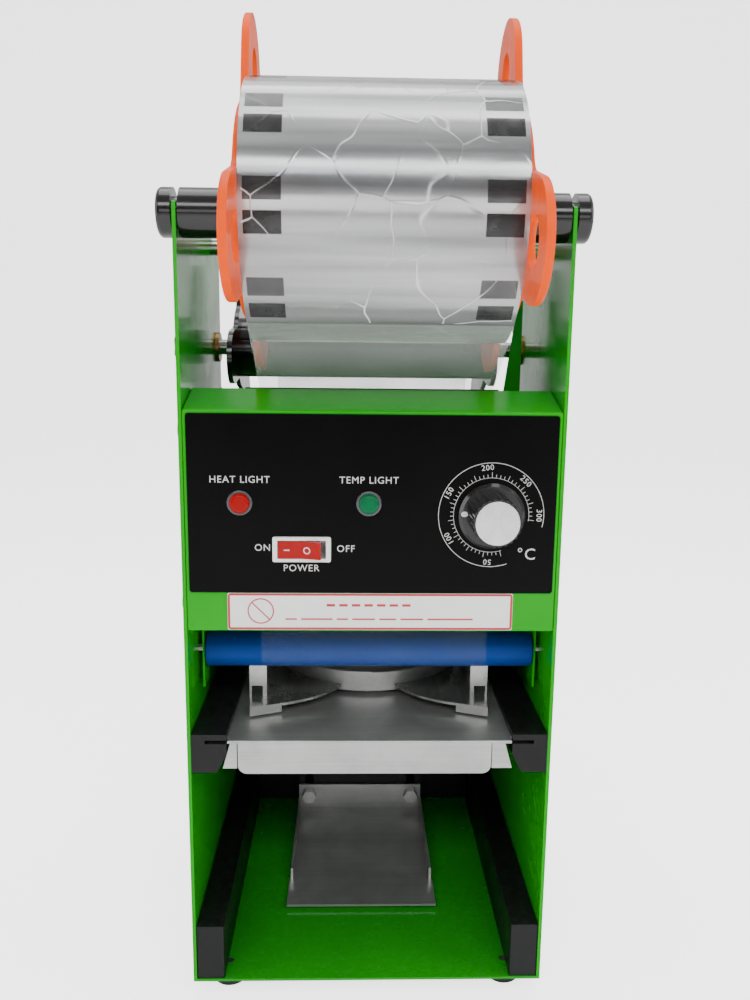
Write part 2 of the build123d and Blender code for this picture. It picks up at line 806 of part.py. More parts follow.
knob_back = front_face - knob_gap
knob_front = knob_back - knob_length
with BuildPart() as thermostat_knob:
    rod_y_way(knob_x, knob_height, knob_back - knob_skirt, knob_back, knob_skirt_radius)
    chamfer(thermostat_knob.edges().filter_by(GeomType.CIRCLE).group_by(Axis.Y)[0], knob_skirt_chamfer)
    with BuildSketch(Plane.XZ.offset(-depth(knob_back - knob_skirt))):
        with Locations((knob_x, knob_height)):
            Circle(knob_grip_radius)
            with PolarLocations(knob_grip_radius + knob_flute_offset, knob_flutes):
                Circle(knob_flute_radius, mode=Mode.SUBTRACT)
    extrude(amount=knob_length - knob_skirt)
    rod_y_way(knob_x, knob_height, knob_back - knob_bore, knob_back, spindle_radius + run_gap, Mode.SUBTRACT)
save(thermostat_knob, "thermostat_knob")

with BuildPart() as knob_cap:
    rod_y_way(knob_x, knob_height, knob_front - cap_sheet, knob_front, knob_grip_radius - cap_inset)
    fillet(knob_cap.edges().filter_by(GeomType.CIRCLE).group_by(Axis.Y)[0], cap_round)
save(knob_cap, "knob_cap")

terminal_back = cover_rear_depth - cover_sheet
with BuildPart() as terminal_block:
    block((-terminal_half, terminal_half), (terminal_back - terminal_depth, terminal_back),
          (terminal_low, terminal_low + terminal_tall))
    for step in range(-2, 3):
        rod_z_way(step * terminal_pitch, terminal_back - terminal_depth / 2, terminal_low + terminal_tall / 2,
                  terminal_low + terminal_tall, terminal_hole, Mode.SUBTRACT)
save(terminal_block, "terminal_block")

# ---------------------------------------------------------------- film path and its rollers
rear_roller_low = roller_height - roller_radius


def tangent_point(centre, radius, point, side):
    """Point where a line from outside touches a circle, on the chosen side."""
    away = (centre[0] - point[0], centre[1] - point[1])
    distance = hypot(*away)
    angle = atan2(away[1], away[0]) + side * asin(radius / distance)
    reach = sqrt(distance**2 - radius**2)
    return (point[0] + reach * cos(angle), point[1] + reach * sin(angle))


wrap_gap = fit_gap + film_thickness / 2
slit_point = (depth(slit_depth), slit_height)
front_roller_centre = (depth(roller_depth), roller_height)
rear_roller_centre = (depth(rear_roller_depth), rear_roller_low + rear_roller_radius)
roller_wrap = roller_radius + wrap_gap
rear_wrap = rear_roller_radius + wrap_gap
reel_wrap = reel_core_radius + wrap_gap
unwind_point = tangent_point(roll_centre, film_radius + wrap_gap, slit_point, 1)
front_touch = tangent_point(front_roller_centre, roller_wrap, slit_point, -1)
front_low = (front_roller_centre[0], front_roller_centre[1] - roller_wrap)
rear_low = (rear_roller_centre[0], rear_roller_centre[1] - rear_wrap)
rise = (reel_centre[0] - rear_roller_centre[0], reel_centre[1] - rear_roller_centre[1])
rise_length = hypot(*rise)
rise_angle = atan2(rise[1], rise[0]) - acos((rear_wrap - reel_wrap) / rise_length)
rear_touch = (
    rear_roller_centre[0] + rear_wrap * cos(rise_angle),
    rear_roller_centre[1] + rear_wrap * sin(rise_angle),
)
reel_touch = (
    reel_centre[0] + reel_wrap * cos(rise_angle),
    reel_centre[1] + reel_wrap * sin(rise_angle),
)
front_middle = (
    front_roller_centre[0] - roller_wrap * sin(pi / 4),
    front_roller_centre[1] - roller_wrap * sin(pi / 4),
)
rear_middle = (
    rear_roller_centre[0] + rear_wrap * sin(pi / 4),
    rear_roller_centre[1] - rear_wrap * sin(pi / 4),
)
with BuildPart() as film_web:
    with BuildSketch(Plane.YZ.offset(film_left)):
        with BuildLine():
            Line(unwind_point, slit_point)
            Line(slit_point, front_touch)
            ThreePointArc(front_touch, front_middle, front_low)
            Line(front_low, rear_low)
            ThreePointArc(rear_low, rear_middle, rear_touch)
            Line(rear_touch, reel_touch)
        trace(line_width=film_thickness)
    extrude(amount=film_width)
save(film_web, "film_web")

with BuildPart() as front_roller:
    rod_x_way(-roller_length / 2, roller_length / 2, roller_depth, roller_height, roller_radius)
    chamfer(front_roller.edges().filter_by(GeomType.CIRCLE), roller_chamfer)
    rod_x_way(-roller_length / 2, roller_length / 2, roller_depth, roller_height,
              roller_spindle_radius + run_gap, Mode.SUBTRACT)
save(front_roller, "front_roller")

rear_roller_height = rear_roller_low + rear_roller_radius
with BuildPart() as rear_roller:
    rod_x_way(-roller_length / 2, roller_length / 2, rear_roller_depth, rear_roller_height,
              rear_roller_radius)
    rod_x_way(-roller_length / 2, roller_length / 2, rear_roller_depth, rear_roller_height,
              roller_spindle_radius + run_gap, Mode.SUBTRACT)
save(rear_roller, "rear_roller")

with BuildPart() as roller_spindles:
    rod_x_way(-inner_x, inner_x, roller_depth, roller_height, roller_spindle_radius)
    rod_x_way(-inner_x, inner_x, rear_roller_depth, rear_roller_height, roller_spindle_radius)
save(roller_spindles, "roller_spindles")

bracket_range = (bracket_low, roller_height + bracket_rise)
bracket_back = roller_depth + bracket_half
with BuildPart() as roller_brackets:
    for sign in (-1, 1):
        near = sign * (roller_length / 2 + bracket_gap)
        far = near + sign * bracket_sheet
        low, high = sorted((near, far))
        block((low, high), (roller_depth - bracket_half, bracket_back), bracket_range)
        low, high = sorted((near, sign * inner_x))
        block((low, high), (bracket_back - bracket_sheet, bracket_back), bracket_range)
        rod_x_way(low, high, roller_depth, roller_height, roller_spindle_radius + run_gap, Mode.SUBTRACT)
save(roller_brackets, "roller_brackets")

# ---------------------------------------------------------------- rails and drawer
rail_inner = inner_x - rail_width
groove_low = drawer_top - drawer_sheet - fit_gap
groove_high = drawer_top + fit_gap
rail_profile = [
    (inner_x, rail_low),
    (inner_x, rail_high),
    (rail_inner, rail_high),
    (rail_inner, groove_high),
    (rail_inner + rail_groove, groove_high),
    (rail_inner + rail_groove, groove_low),
    (rail_inner, groove_low),
    (rail_inner, rail_notch_height),
    (rail_inner + rail_notch_width, rail_low),
]
with BuildPart() as drawer_rails:
    for sign in (-1, 1):
        with BuildSketch(Plane.XZ.offset(-depth(0))):
            with BuildLine():
                Polyline(*[(sign * x, z) for x, z in rail_profile], close=True)
            make_face()
        extrude(amount=-rail_length)
        low, high = sorted((sign * inner_x, sign * (inner_x - screw_hole)))
        for d, z in rail_screws:
            rod_x_way(low, high, d, z, screw_radius, Mode.SUBTRACT)
save(drawer_rails, "drawer_rails")

tongue_half = rail_inner + rail_groove - tongue_gap
plate_half = rail_inner - plate_gap
sheet_low = drawer_top - drawer_sheet
lip_top = sheet_low + lip_bite
with BuildPart() as drawer_plate:
    block((-plate_half, plate_half), (0, drawer_length), (sheet_low, drawer_top))
    block((-tongue_half, tongue_half), (tongue_start, drawer_length), (sheet_low, drawer_top))
    fillet(drawer_plate.edges().filter_by(Axis.X).group_by(Axis.Y)[0].sort_by(Axis.Z)[-1], plate_round)
    with BuildSketch(Plane.XZ.offset(-depth(0))):
        with BuildLine():
            Polyline(
                (drawer_lip_left, lip_top),
                (drawer_lip_right, lip_top),
                (drawer_lip_right, drawer_top - drawer_lip_height),
                (drawer_lip_left, drawer_top - drawer_lip_height),
                close=True,
            )
        lip = make_face()
        fillet(lip.vertices().group_by(Axis.Y)[0], lip_round)
    extrude(amount=-lip_sheet)
    for sign in (-1, 1):
        top_x = drawer_offset_x + sign * flange_top_x
        low_x = drawer_offset_x + sign * flange_low_x
        tab_x = drawer_lip_left - tab_gap if sign < 0 else drawer_lip_right + tab_gap
        with BuildSketch(Plane.XZ.offset(-depth(flange_set_back))):
            with BuildLine():
                Polyline(
                    (top_x, lip_top),
                    (top_x + sign * flange_sheet, lip_top),
                    (low_x + sign * flange_sheet, flange_low_z),
                    (low_x, flange_low_z),
                    close=True,
                )
            make_face()
        extrude(amount=-(drawer_length - flange_short))
        with BuildSketch(Plane.XZ.offset(-depth(flange_set_back))):
            with BuildLine():
                Polyline(
                    (tab_x, lip_top),
                    (top_x, lip_top),
                    (low_x, flange_low_z),
                    (tab_x, flange_low_z),
                    close=True,
                )
            make_face()
        extrude(amount=-flange_sheet)
    rod_z_way(0, ring_depth, sheet_low, drawer_top, ring_bore + drawer_hole_margin, Mode.SUBTRACT)
save(drawer_plate, "drawer_plate")

with BuildPart() as cup_ring:
    rod_z_way(0, ring_depth, drawer_top + ring_step, ring_high, ring_outer)
    fillet(cup_ring.edges().filter_by(GeomType.CIRCLE), ring_round)
    rod_z_way(0, ring_depth, drawer_top, drawer_top + ring_step + ring_round, ring_step_radius)
    rod_z_way(0, ring_depth, drawer_top, ring_high, ring_bore, Mode.SUBTRACT)
    rod_z_way(0, ring_depth, ring_high - ring_seat_depth, ring_high, ring_seat, Mode.SUBTRACT)
save(cup_ring, "cup_ring")

with BuildPart() as ring_gasket:
    seat_z = ring_high - ring_seat_depth
    rod_z_way(0, ring_depth, seat_z, seat_z + gasket_height, ring_seat - gasket_gap)
    rod_z_way(0, ring_depth, seat_z, seat_z + gasket_height, ring_bore, Mode.SUBTRACT)
save(ring_gasket, "ring_gasket")

wing_wall_x = ring_outer + wing_gap
wing_wall_outer = wing_wall_x + wing_sheet
wing_low = wing_height - wing_sheet
post_back = post_depth + wing_sheet
tab_low = drawer_top + wing_tab_gap


def wing_point(corner, sign, shift=(0, 0)):
    """Sketch point of a wing's corner, mirrored by sign and shifted."""
    return (sign * (corner[0] + shift[0]), depth(corner[1] + shift[1]))


with BuildPart() as ring_wings:
    for sign in (-1, 1):
        with BuildSketch(Plane.XY.offset(wing_low)):
            with BuildLine():
                Polyline(
                    wing_point(wing_toe, sign),
                    wing_point(wing_heel, sign),
                    (sign * wing_wall_outer, depth(wing_back)),
                    (sign * wing_wall_outer, depth(post_back)),
                    (sign * wing_outer, depth(post_back)),
                    wing_point(wing_tip_outer, sign),
                    wing_point(wing_tip_inner, sign),
                )
                ThreePointArc(
                    wing_point(wing_tip_inner, sign), wing_point(wing_bow, sign), wing_point(wing_toe, sign)
                )
            make_face()
            with Locations((0, depth(ring_depth))):
                Circle(ring_outer + fit_gap, mode=Mode.SUBTRACT)
        extrude(amount=wing_sheet)
        with BuildSketch(Plane.XY.offset(tab_low)):
            with BuildLine():
                Polyline(
                    wing_point(wing_tip_outer, sign),
                    wing_point(wing_tip_inner, sign),
                    wing_point(wing_tip_inner, sign, wing_tab_skew),
                    wing_point(wing_tip_outer, sign, wing_tab_skew),
                    close=True,
                )
            make_face()
        extrude(amount=wing_height - tab_low)
        low, high = sorted((sign * wing_wall_x, sign * wing_wall_outer))
        block((low, high), (post_depth, wing_back), (drawer_top, wing_post_top))
        low, high = sorted((sign * wing_wall_x, sign * wing_outer))
        block((low, high), (post_depth, post_back), (wing_low, wing_post_top))
        window_near = wing_wall_outer + window_inset_near
        window_far = wing_outer - window_inset_far
        low, high = sorted((sign * window_near, sign * window_far))
        block((low, high), (post_depth, post_back), (wing_height, window_top), Mode.SUBTRACT)
save(ring_wings, "ring_wings")

# ---------------------------------------------------------------- sealing head
cartridge_height = plate_low + plate_thick / 2
with BuildPart() as heating_plate:
    rod_z_way(0, ring_depth, plate_low, plate_low + plate_thick, plate_radius)
    chamfer(heating_plate.edges().filter_by(GeomType.CIRCLE), edge_chamfer)
    for sign in (-1, 1):
        rod_x_way(-plate_radius, cartridge_end_x, ring_depth + sign * cartridge_y, cartridge_height,
                  cartridge_radius + run_gap, Mode.SUBTRACT)
save(heating_plate, "heating_plate")

with BuildPart() as heater_cartridges:
    for sign in (-1, 1):
        rod_x_way(-plate_radius + cartridge_inset, cartridge_end_x, ring_depth + sign * cartridge_y,
                  cartridge_height, cartridge_radius)
save(heater_cartridges, "heater_cartridges")

cutter_low = ring_high + head_travel + cutter_gap
with BuildPart() as cutter_ring:
    rod_z_way(0, ring_depth, cutter_low, carriage_low, cutter_radius)
    rod_z_way(0, ring_depth, cutter_low, carriage_low, cutter_radius - cutter_wall, Mode.SUBTRACT)
    chamfer(cutter_ring.edges().group_by(Axis.Z)[0].sort_by(SortBy.RADIUS)[-1], cutter_chamfer)
save(cutter_ring, "cutter_ring")

carriage_top = carriage_low + carriage_thick
with BuildPart() as head_carriage:
    block((-carriage_half_x, carriage_half_x), (ring_depth - carriage_half_y, ring_depth + carriage_half_y),
          (carriage_low, carriage_top))
    fillet(head_carriage.edges().filter_by(Axis.Z), carriage_round)
    for sx in (-1, 1):
        for sy in (-1, 1):
            rod_z_way(sx * post_x, ring_depth + sy * post_y, plate_low + plate_thick, carriage_low,
                      post_radius)
        rod_z_way(sx * rod_x, ring_depth, carriage_low, carriage_top,
                  rod_radius - rod_step + run_gap, Mode.SUBTRACT)
save(head_carriage, "head_carriage")

with BuildPart() as guide_rods:
    for sign in (-1, 1):
        rod_z_way(sign * rod_x, ring_depth, carriage_low, carriage_top, rod_radius - rod_step)
        rod_z_way(sign * rod_x, ring_depth, carriage_top, rod_top, rod_radius)
        rod_z_way(sign * rod_x, ring_depth, rod_top - collar_height, rod_top, collar_radius)
save(guide_rods, "guide_rods")

bridge_top = bridge_low + bridge_thick
bush_outer = rod_radius + bush_wall
window_back = axle_depth + pitch_radius + tooth_module + window_gap
with BuildPart() as head_bridge:
    block((-inner_x, inner_x), (bridge_front, bridge_back), (bridge_low, bridge_top))
    block((-window_half, window_half), (window_front, window_back), (bridge_low, bridge_top), Mode.SUBTRACT)
    for sign in (-1, 1):
        rod_z_way(sign * rod_x, ring_depth, bridge_low, bridge_top, bush_outer, Mode.SUBTRACT)
        low, high = sorted((sign * inner_x, sign * (inner_x - screw_hole)))
        for d, z in bridge_screws:
            rod_x_way(low, high, d, z, screw_radius, Mode.SUBTRACT)
save(head_bridge, "head_bridge")

shaft_bushes = ((axle_depth, axle_height, axle_radius), (reel_depth, reel_height, reel_shaft_radius))
with BuildPart() as bronze_bushes:
    for sign in (-1, 1):
        bush_top = bridge_top + bush_flange
        rod_z_way(sign * rod_x, ring_depth, bridge_low, bridge_top, bush_outer)
        rod_z_way(sign * rod_x, ring_depth, bridge_top, bush_top, bush_outer + bush_flange)
        rod_z_way(sign * rod_x, ring_depth, bridge_low, bush_top, rod_radius + run_gap, Mode.SUBTRACT)
        for d, z, radius in shaft_bushes:
            low, high = sorted((sign * inner_x, sign * half_width))
            rod_x_way(low, high, d, z, radius + bush_wall)
            low, high = sorted((sign * (inner_x - bush_flange), sign * inner_x))
            rod_x_way(low, high, d, z, radius + bush_wall + bush_flange)
            low, high = sorted((sign * (inner_x - bush_flange), sign * half_width))
            rod_x_way(low, high, d, z, radius + run_gap, Mode.SUBTRACT)
save(bronze_bushes, "bronze_bushes")

spring_low = bridge_top + bush_flange
spring_high = rod_top - collar_height
spring_coil_radius = spring_radius - spring_wire / 2
spring_span = spring_high - spring_low - spring_wire - 2 * spring_gap
with BuildPart() as return_springs:
    for sign in (-1, 1):
        with BuildLine():
            coil = Helix(
                pitch=spring_span / spring_turns,
                height=spring_span,
                radius=spring_coil_radius,
                center=(sign * rod_x, depth(ring_depth), spring_low + spring_wire / 2 + spring_gap),
            )
        with BuildSketch(Plane(origin=coil @ 0, z_dir=coil % 0)):
            Circle(spring_wire / 2)
        sweep(path=coil)
save(return_springs, "return_springs")

# ---------------------------------------------------------------- lever, axle, pinion and rack
pressure_angle = radians(pressure_degrees)
base_radius = pitch_radius * cos(pressure_angle)
tip_radius = pitch_radius + 0.9 * tooth_module
root_radius = pitch_radius - 1.3 * tooth_module
flank_steps = 5


def involute(angle):
    """Involute function of a pressure angle."""
    return tan(angle) - angle


def tooth_points(centre_angle):
    """Outline of one pinion tooth, from root to root, about the pinion's centre."""
    half_at_pitch = pi / (2 * pinion_teeth) - backlash / (2 * pitch_radius)
    flank = []
    for step in range(flank_steps + 1):
        radius = max(base_radius, root_radius) + (tip_radius - base_radius) * step / flank_steps
        half = half_at_pitch + involute(pressure_angle) - involute(acos(base_radius / radius))
        flank.append((radius, half))
    flank.insert(0, (root_radius, flank[0][1]))
    rising = [(r * cos(centre_angle - h), r * sin(centre_angle - h)) for r, h in flank]
    falling = [(r * cos(centre_angle + h), r * sin(centre_angle + h)) for r, h in reversed(flank)]
    return rising + falling


pinion_outline = []
for tooth in range(pinion_teeth):
    pinion_outline += tooth_points(pi + (tooth + 0.5) * 2 * pi / pinion_teeth)
pinion_origin = (-pinion_width / 2, depth(axle_depth), axle_height)
pinion_plane = Plane(origin=pinion_origin, x_dir=(0, 1, 0), z_dir=(1, 0, 0))
with BuildPart() as pinion:
    with BuildSketch(pinion_plane):
        with BuildLine():
            Polyline(*pinion_outline, close=True)
        make_face()
        Circle(axle_radius + run_gap, mode=Mode.SUBTRACT)
    extrude(amount=pinion_width)
save(pinion, "pinion")

rack_line = axle_depth - pitch_radius
tooth_pitch = pi * tooth_module
rack_tip = rack_line + 0.85 * tooth_module
rack_root = rack_line - 1.3 * tooth_module
rack_back = rack_root - rack_thick
rack_top = axle_height + head_travel + 1.5 * tooth_pitch
tooth_half = tooth_pitch / 4 - backlash / 2
rack_teeth = range(-1, int((rack_top - axle_height) / tooth_pitch) + 1)
rack_outline = [(depth(rack_back), carriage_top), (depth(rack_root), carriage_top)]
for tooth in rack_teeth:
    tooth_z = axle_height + tooth * tooth_pitch
    root_half = tooth_half + (rack_line - rack_root) * tan(pressure_angle)
    tip_half = tooth_half - (rack_tip - rack_line) * tan(pressure_angle)
    rack_outline += [
        (depth(rack_root), tooth_z - root_half),
        (depth(rack_tip), tooth_z - tip_half),
        (depth(rack_tip), tooth_z + tip_half),
        (depth(rack_root), tooth_z + root_half),
    ]
rack_outline += [(depth(rack_root), rack_top), (depth(rack_back), rack_top)]
with BuildPart() as head_rack:
    with BuildSketch(Plane.YZ.offset(-rack_half_width)):
        with BuildLine():
            Polyline(*rack_outline, close=True)
        make_face()
    extrude(amount=2 * rack_half_width)
save(head_rack, "head_rack")

lever_plane_x = reach_x - grip_radius
with BuildPart() as cross_shaft:
    rod_x_way(-half_width - axle_overhang, lever_plane_x + hub_half, axle_depth, axle_height, axle_radius)
    chamfer(cross_shaft.edges().filter_by(GeomType.CIRCLE), edge_chamfer)
save(cross_shaft, "cross_shaft")

lever_direction = Vector(0, sin(lean), cos(lean))
hub_point = Vector(lever_plane_x, depth(axle_depth), axle_height)
arm_end = lever_length - grip_radius + arm_in_grip
with BuildPart() as lever_arm:
    rod_x_way(lever_plane_x - hub_half, lever_plane_x + hub_half, axle_depth, axle_height, hub_radius)
    chamfer(lever_arm.edges().filter_by(GeomType.CIRCLE), edge_chamfer)
    with BuildSketch(Plane(origin=hub_point, z_dir=lever_direction)):
        Circle(arm_radius)
    extrude(amount=arm_end)
    rod_x_way(lever_plane_x - hub_half, lever_plane_x + hub_half, axle_depth, axle_height,
              axle_radius + run_gap, Mode.SUBTRACT)
save(lever_arm, "lever_arm")

grip_centre = hub_point + lever_direction * lever_length
with BuildPart() as lever_grip:
    with Locations(grip_centre):
        Sphere(grip_radius)
    with BuildSketch(Plane(origin=hub_point, z_dir=lever_direction)):
        Circle(arm_radius + run_gap)
    extrude(amount=arm_end + run_gap, mode=Mode.SUBTRACT)
save(lever_grip, "lever_grip")

# ---------------------------------------------------------------- head cover, tie rod, reel bracket
cover_outline = [
    (depth(cover_front_depth), cover_low),
    (depth(cover_front_depth), cover_top),
    (depth(cover_top_back), cover_top),
    (depth(cover_rear_depth), cover_slope_height),
    (depth(cover_rear_depth), cover_low),
]
with BuildPart() as head_cover:
    with BuildSketch(Plane.YZ.offset(-inner_x)):
        with BuildLine():
            Polyline(*cover_outline, close=True)
        make_face()
    extrude(amount=2 * inner_x)
    with BuildSketch(Plane.YZ.offset(-inner_x)):
        with BuildLine():
            Polyline(*cover_outline, close=True)
        make_face()
        offset(amount=-cover_sheet)
    extrude(amount=2 * inner_x, mode=Mode.SUBTRACT)
    block((-inner_x, inner_x), (cover_front_depth + cover_sheet, cover_rear_depth - cover_sheet),
          (cover_low, cover_low + 2 * cover_sheet), Mode.SUBTRACT)
    for sign in (-1, 1):
        low, high = sorted((sign * inner_x, sign * (inner_x - cover_sheet)))
        for d, z in cover_screws:
            block((low, high), (d - cover_tab, d + cover_tab), (z - cover_tab, cover_top - cover_sheet / 2))
            rod_x_way(low, high, d, z, screw_radius, Mode.SUBTRACT)
save(head_cover, "head_cover")

with BuildPart() as rear_tie_rod:
    rod_x_way(-inner_x, inner_x, tie_rod_depth, tie_rod_height, tie_rod_radius)
    for sign in (-1, 1):
        low, high = sorted((sign * inner_x, sign * (inner_x - screw_hole)))
        rod_x_way(low, high, tie_rod_depth, tie_rod_height, screw_radius, Mode.SUBTRACT)
save(rear_tie_rod, "rear_tie_rod")

with BuildPart() as reel_bracket:
    with BuildSketch(Plane.XZ.offset(-depth(upright_front))):
        with BuildLine():
            Polyline(
                (upright_left, cover_top),
                (upright_right, cover_top),
                (upright_right, upright_top),
                (upright_right - upright_top_width, upright_top),
                (upright_left, upright_taper_start),
                close=True,
            )
        make_face()
    extrude(amount=-upright_sheet)
    block((upright_right - upright_sheet, upright_right), (upright_front, upright_back),
          (cover_top, upright_taper_start))
    block((upright_left, inner_x), (upright_front, upright_back), (cover_top, cover_top + upright_sheet))
save(reel_bracket, "reel_bracket")

# ---------------------------------------------------------------- cup rest
rest_left = rest_x - rest_width / 2
rest_right = rest_x + rest_width / 2
rest_low = base_top + fit_gap
rest_flange_low = rest_low + rest_flange_rise
rest_wall_back = rest_rear_depth - rest_wall_short
with BuildPart() as cup_rest_tray:
    block((rest_left, rest_right), (rest_pan_depth, rest_wall_back), (rest_low, rest_low + rest_sheet))
    block((rest_left, rest_right), (rest_pan_depth, rest_pan_depth + rest_sheet),
          (rest_low, rest_flange_low + rest_sheet))
    block((rest_left - rest_flange_margin, rest_right + rest_flange_margin),
          (rest_front_depth, rest_pan_depth + rest_sheet), (rest_flange_low, rest_flange_low + rest_sheet))
    for low in (rest_left, rest_right - rest_sheet):
        block((low, low + rest_sheet), (rest_pan_depth, rest_wall_back), (rest_low, rest_low + rest_wall))
save(cup_rest_tray, "cup_rest_tray")

rest_bracket_back = rest_rear_depth - fit_gap
with BuildPart() as cup_rest_bracket:
    block((rest_left, rest_right), (rest_wall_back, rest_bracket_back), (rest_low, rest_bracket_top))
    for sign in (-1, 1):
        rod_y_way(rest_x + sign * rest_slot_x, bolt_height, rest_wall_back, rest_bracket_back,
                  bolt_radius + run_gap, Mode.SUBTRACT)
save(cup_rest_bracket, "cup_rest_bracket")

plate_back = rest_rear_depth + rest_sheet
slot_low = bolt_height - bolt_radius - rest_slot_spare
slot_high = bolt_height + rest_travel + bolt_radius + rest_slot_spare
with BuildPart() as rest_back_plate:
    block((rest_left, rest_right), (rest_rear_depth, plate_back), (base_top, rest_plate_top))
    block((rest_left, rest_right), (rest_rear_depth, cover_face),
          (rest_plate_top - rest_sheet, rest_plate_top))
    with BuildSketch(Plane.XZ.offset(-depth(rest_rear_depth))):
        for sign in (-1, 1):
            with Locations((rest_x + sign * rest_slot_x, (slot_low + slot_high) / 2)):
                SlotOverall(slot_high - slot_low, rest_slot_width, rotation=90)
    extrude(amount=-rest_sheet, mode=Mode.SUBTRACT)
save(rest_back_plate, "rest_back_plate")

with BuildPart() as rest_bolts:
    for sign in (-1, 1):
        x = rest_x + sign * rest_slot_x
        rod_y_way(x, bolt_height, rest_wall_back, plate_back + fit_gap + nut_height + bolt_spare, bolt_radius)
        for start, height in ((rest_wall_back - bolt_head, bolt_head), (plate_back + fit_gap, nut_height)):
            with BuildSketch(Plane.XZ.offset(-depth(start))):
                with Locations((x, bolt_height)):
                    RegularPolygon(bolt_head_radius, 6)
            extrude(amount=-height)
save(rest_bolts, "rest_bolts")

# ---------------------------------------------------------------- screws
with BuildPart() as body_screws:
    for sign in (-1, 1):
        for d, z in screw_places + [(tie_rod_depth, tie_rod_height)]:
            low, high = sorted((sign * half_width, sign * (half_width + screw_head_height)))
            rod_x_way(low, high, d, z, screw_head_radius)
            low, high = sorted((sign * (inner_x - screw_length), sign * half_width))
            rod_x_way(low, high, d, z, screw_radius - run_gap)
    for x, d in foot_places:
        rod_z_way(x, d, foot_recess - screw_head_height, foot_recess, screw_head_radius)
        rod_z_way(x, d, foot_recess, base_top, screw_radius - run_gap)
save(body_screws, "body_screws")
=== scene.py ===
"""Looks of the hand-lever cup sealing machine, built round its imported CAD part."""
import logging
import math
from dataclasses import dataclass, field
from enum import Enum
from typing import Callable, Sequence

import bmesh
import bpy
from mathutils import Matrix, Vector, noise
from mathutils.bvhtree import BVHTree


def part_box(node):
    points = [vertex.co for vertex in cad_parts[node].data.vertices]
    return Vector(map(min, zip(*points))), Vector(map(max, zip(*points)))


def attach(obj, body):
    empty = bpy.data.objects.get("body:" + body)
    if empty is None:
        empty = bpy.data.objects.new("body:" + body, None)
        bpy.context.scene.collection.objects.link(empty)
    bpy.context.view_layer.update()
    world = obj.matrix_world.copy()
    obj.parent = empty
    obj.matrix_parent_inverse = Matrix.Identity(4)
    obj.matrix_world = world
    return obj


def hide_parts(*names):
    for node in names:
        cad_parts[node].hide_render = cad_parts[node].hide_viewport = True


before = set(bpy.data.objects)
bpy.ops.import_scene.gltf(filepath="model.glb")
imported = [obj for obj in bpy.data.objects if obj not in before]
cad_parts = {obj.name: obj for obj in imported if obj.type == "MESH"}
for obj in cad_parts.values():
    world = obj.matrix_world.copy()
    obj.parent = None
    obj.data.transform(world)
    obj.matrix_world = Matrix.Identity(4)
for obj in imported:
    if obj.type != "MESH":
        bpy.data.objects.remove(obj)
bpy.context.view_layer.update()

LOG = logging.getLogger("cup_sealer")
Colour = tuple[float, float, float]
Node = bpy.types.Node
Socket = bpy.types.NodeSocket
Outputs = dict[str, Socket]
Shape = bmesh.types.BMesh
MM = 0.001


# ---------------------------------------------------------------- node helpers
class Wires:
    """Adds and joins nodes in one node tree."""

    def __init__(self, tree: bpy.types.NodeTree) -> None:
        """Start on an empty tree."""
        self.tree = tree
        tree.nodes.clear()

    def add(self, kind: str, settings: dict | None = None, **sockets: object) -> Node:
        """Add a node.

        Args:
            kind: Blender's node type name.
            settings: Node properties to set.
            sockets: Input values or output sockets, keyed by input name with _ for a space.

        Returns:
            The new node.
        """
        node = self.tree.nodes.new(kind)
        for key, value in (settings or {}).items():
            setattr(node, key, value)
        for key, value in sockets.items():
            self.plug(node, key.replace("_", " "), value)
        return node

    def plug(self, node: Node, key: str | int, value: object) -> None:
        """Set one input to a value, or join an output socket to it."""
        if isinstance(value, Socket):
            self.tree.links.new(value, node.inputs[key])
        else:
            node.inputs[key].default_value = value

    def maths(self, operation: str, first: object, second: object = 0.0, third: object = 0.0) -> Socket:
        """Join one Math node and return its output."""
        node = self.tree.nodes.new("ShaderNodeMath")
        node.operation = operation
        for index, value in enumerate((first, second, third)):
            self.plug(node, index, value)
        return node.outputs[0]

    def vector(self, operation: str, *values: object) -> Socket:
        """Join one Vector Math node and return its vector, or its number for a length."""
        node = self.add("ShaderNodeVectorMath", {"operation": operation})
        for index, value in enumerate(values):
            self.plug(node, index, value)
        return node.outputs["Value" if operation == "LENGTH" else "Vector"]

    def stretch(self, vector: object, scale: object) -> Socket:
        """Scale texture coordinates."""
        return self.add("ShaderNodeMapping", Vector=vector, Scale=scale).outputs[0]

    def mix(self, share: object, first: object, second: object, blend: str = "MIX") -> Socket:
        """Mix two colours and return the result."""
        node = self.tree.nodes.new("ShaderNodeMix")
        node.data_type = "RGBA"
        node.blend_type = blend
        self.plug(node, 0, share)
        self.plug(node, 6, first if isinstance(first, Socket) else (*first, 1.0))
        self.plug(node, 7, second if isinstance(second, Socket) else (*second, 1.0))
        return node.outputs[2]

    def span(self, value: object, low: float, high: float, start: float = 0.0, end: float = 1.0) -> Socket:
        """Map a value from one range to another, clamped."""
        ends = {"From_Min": start, "From_Max": end, "To_Min": low, "To_Max": high}
        return self.add("ShaderNodeMapRange", Value=value, **ends).outputs[0]

    def noise(self, vector: object, scale: float, detail: float = 2.0, roughness: float = 0.5,
              distortion: float = 0.0) -> Socket:
        """Join a Noise Texture and return its grey output."""
        return self.add("ShaderNodeTexNoise", Vector=vector, Scale=scale, Detail=detail, Roughness=roughness,
                        Distortion=distortion).outputs["Fac"]


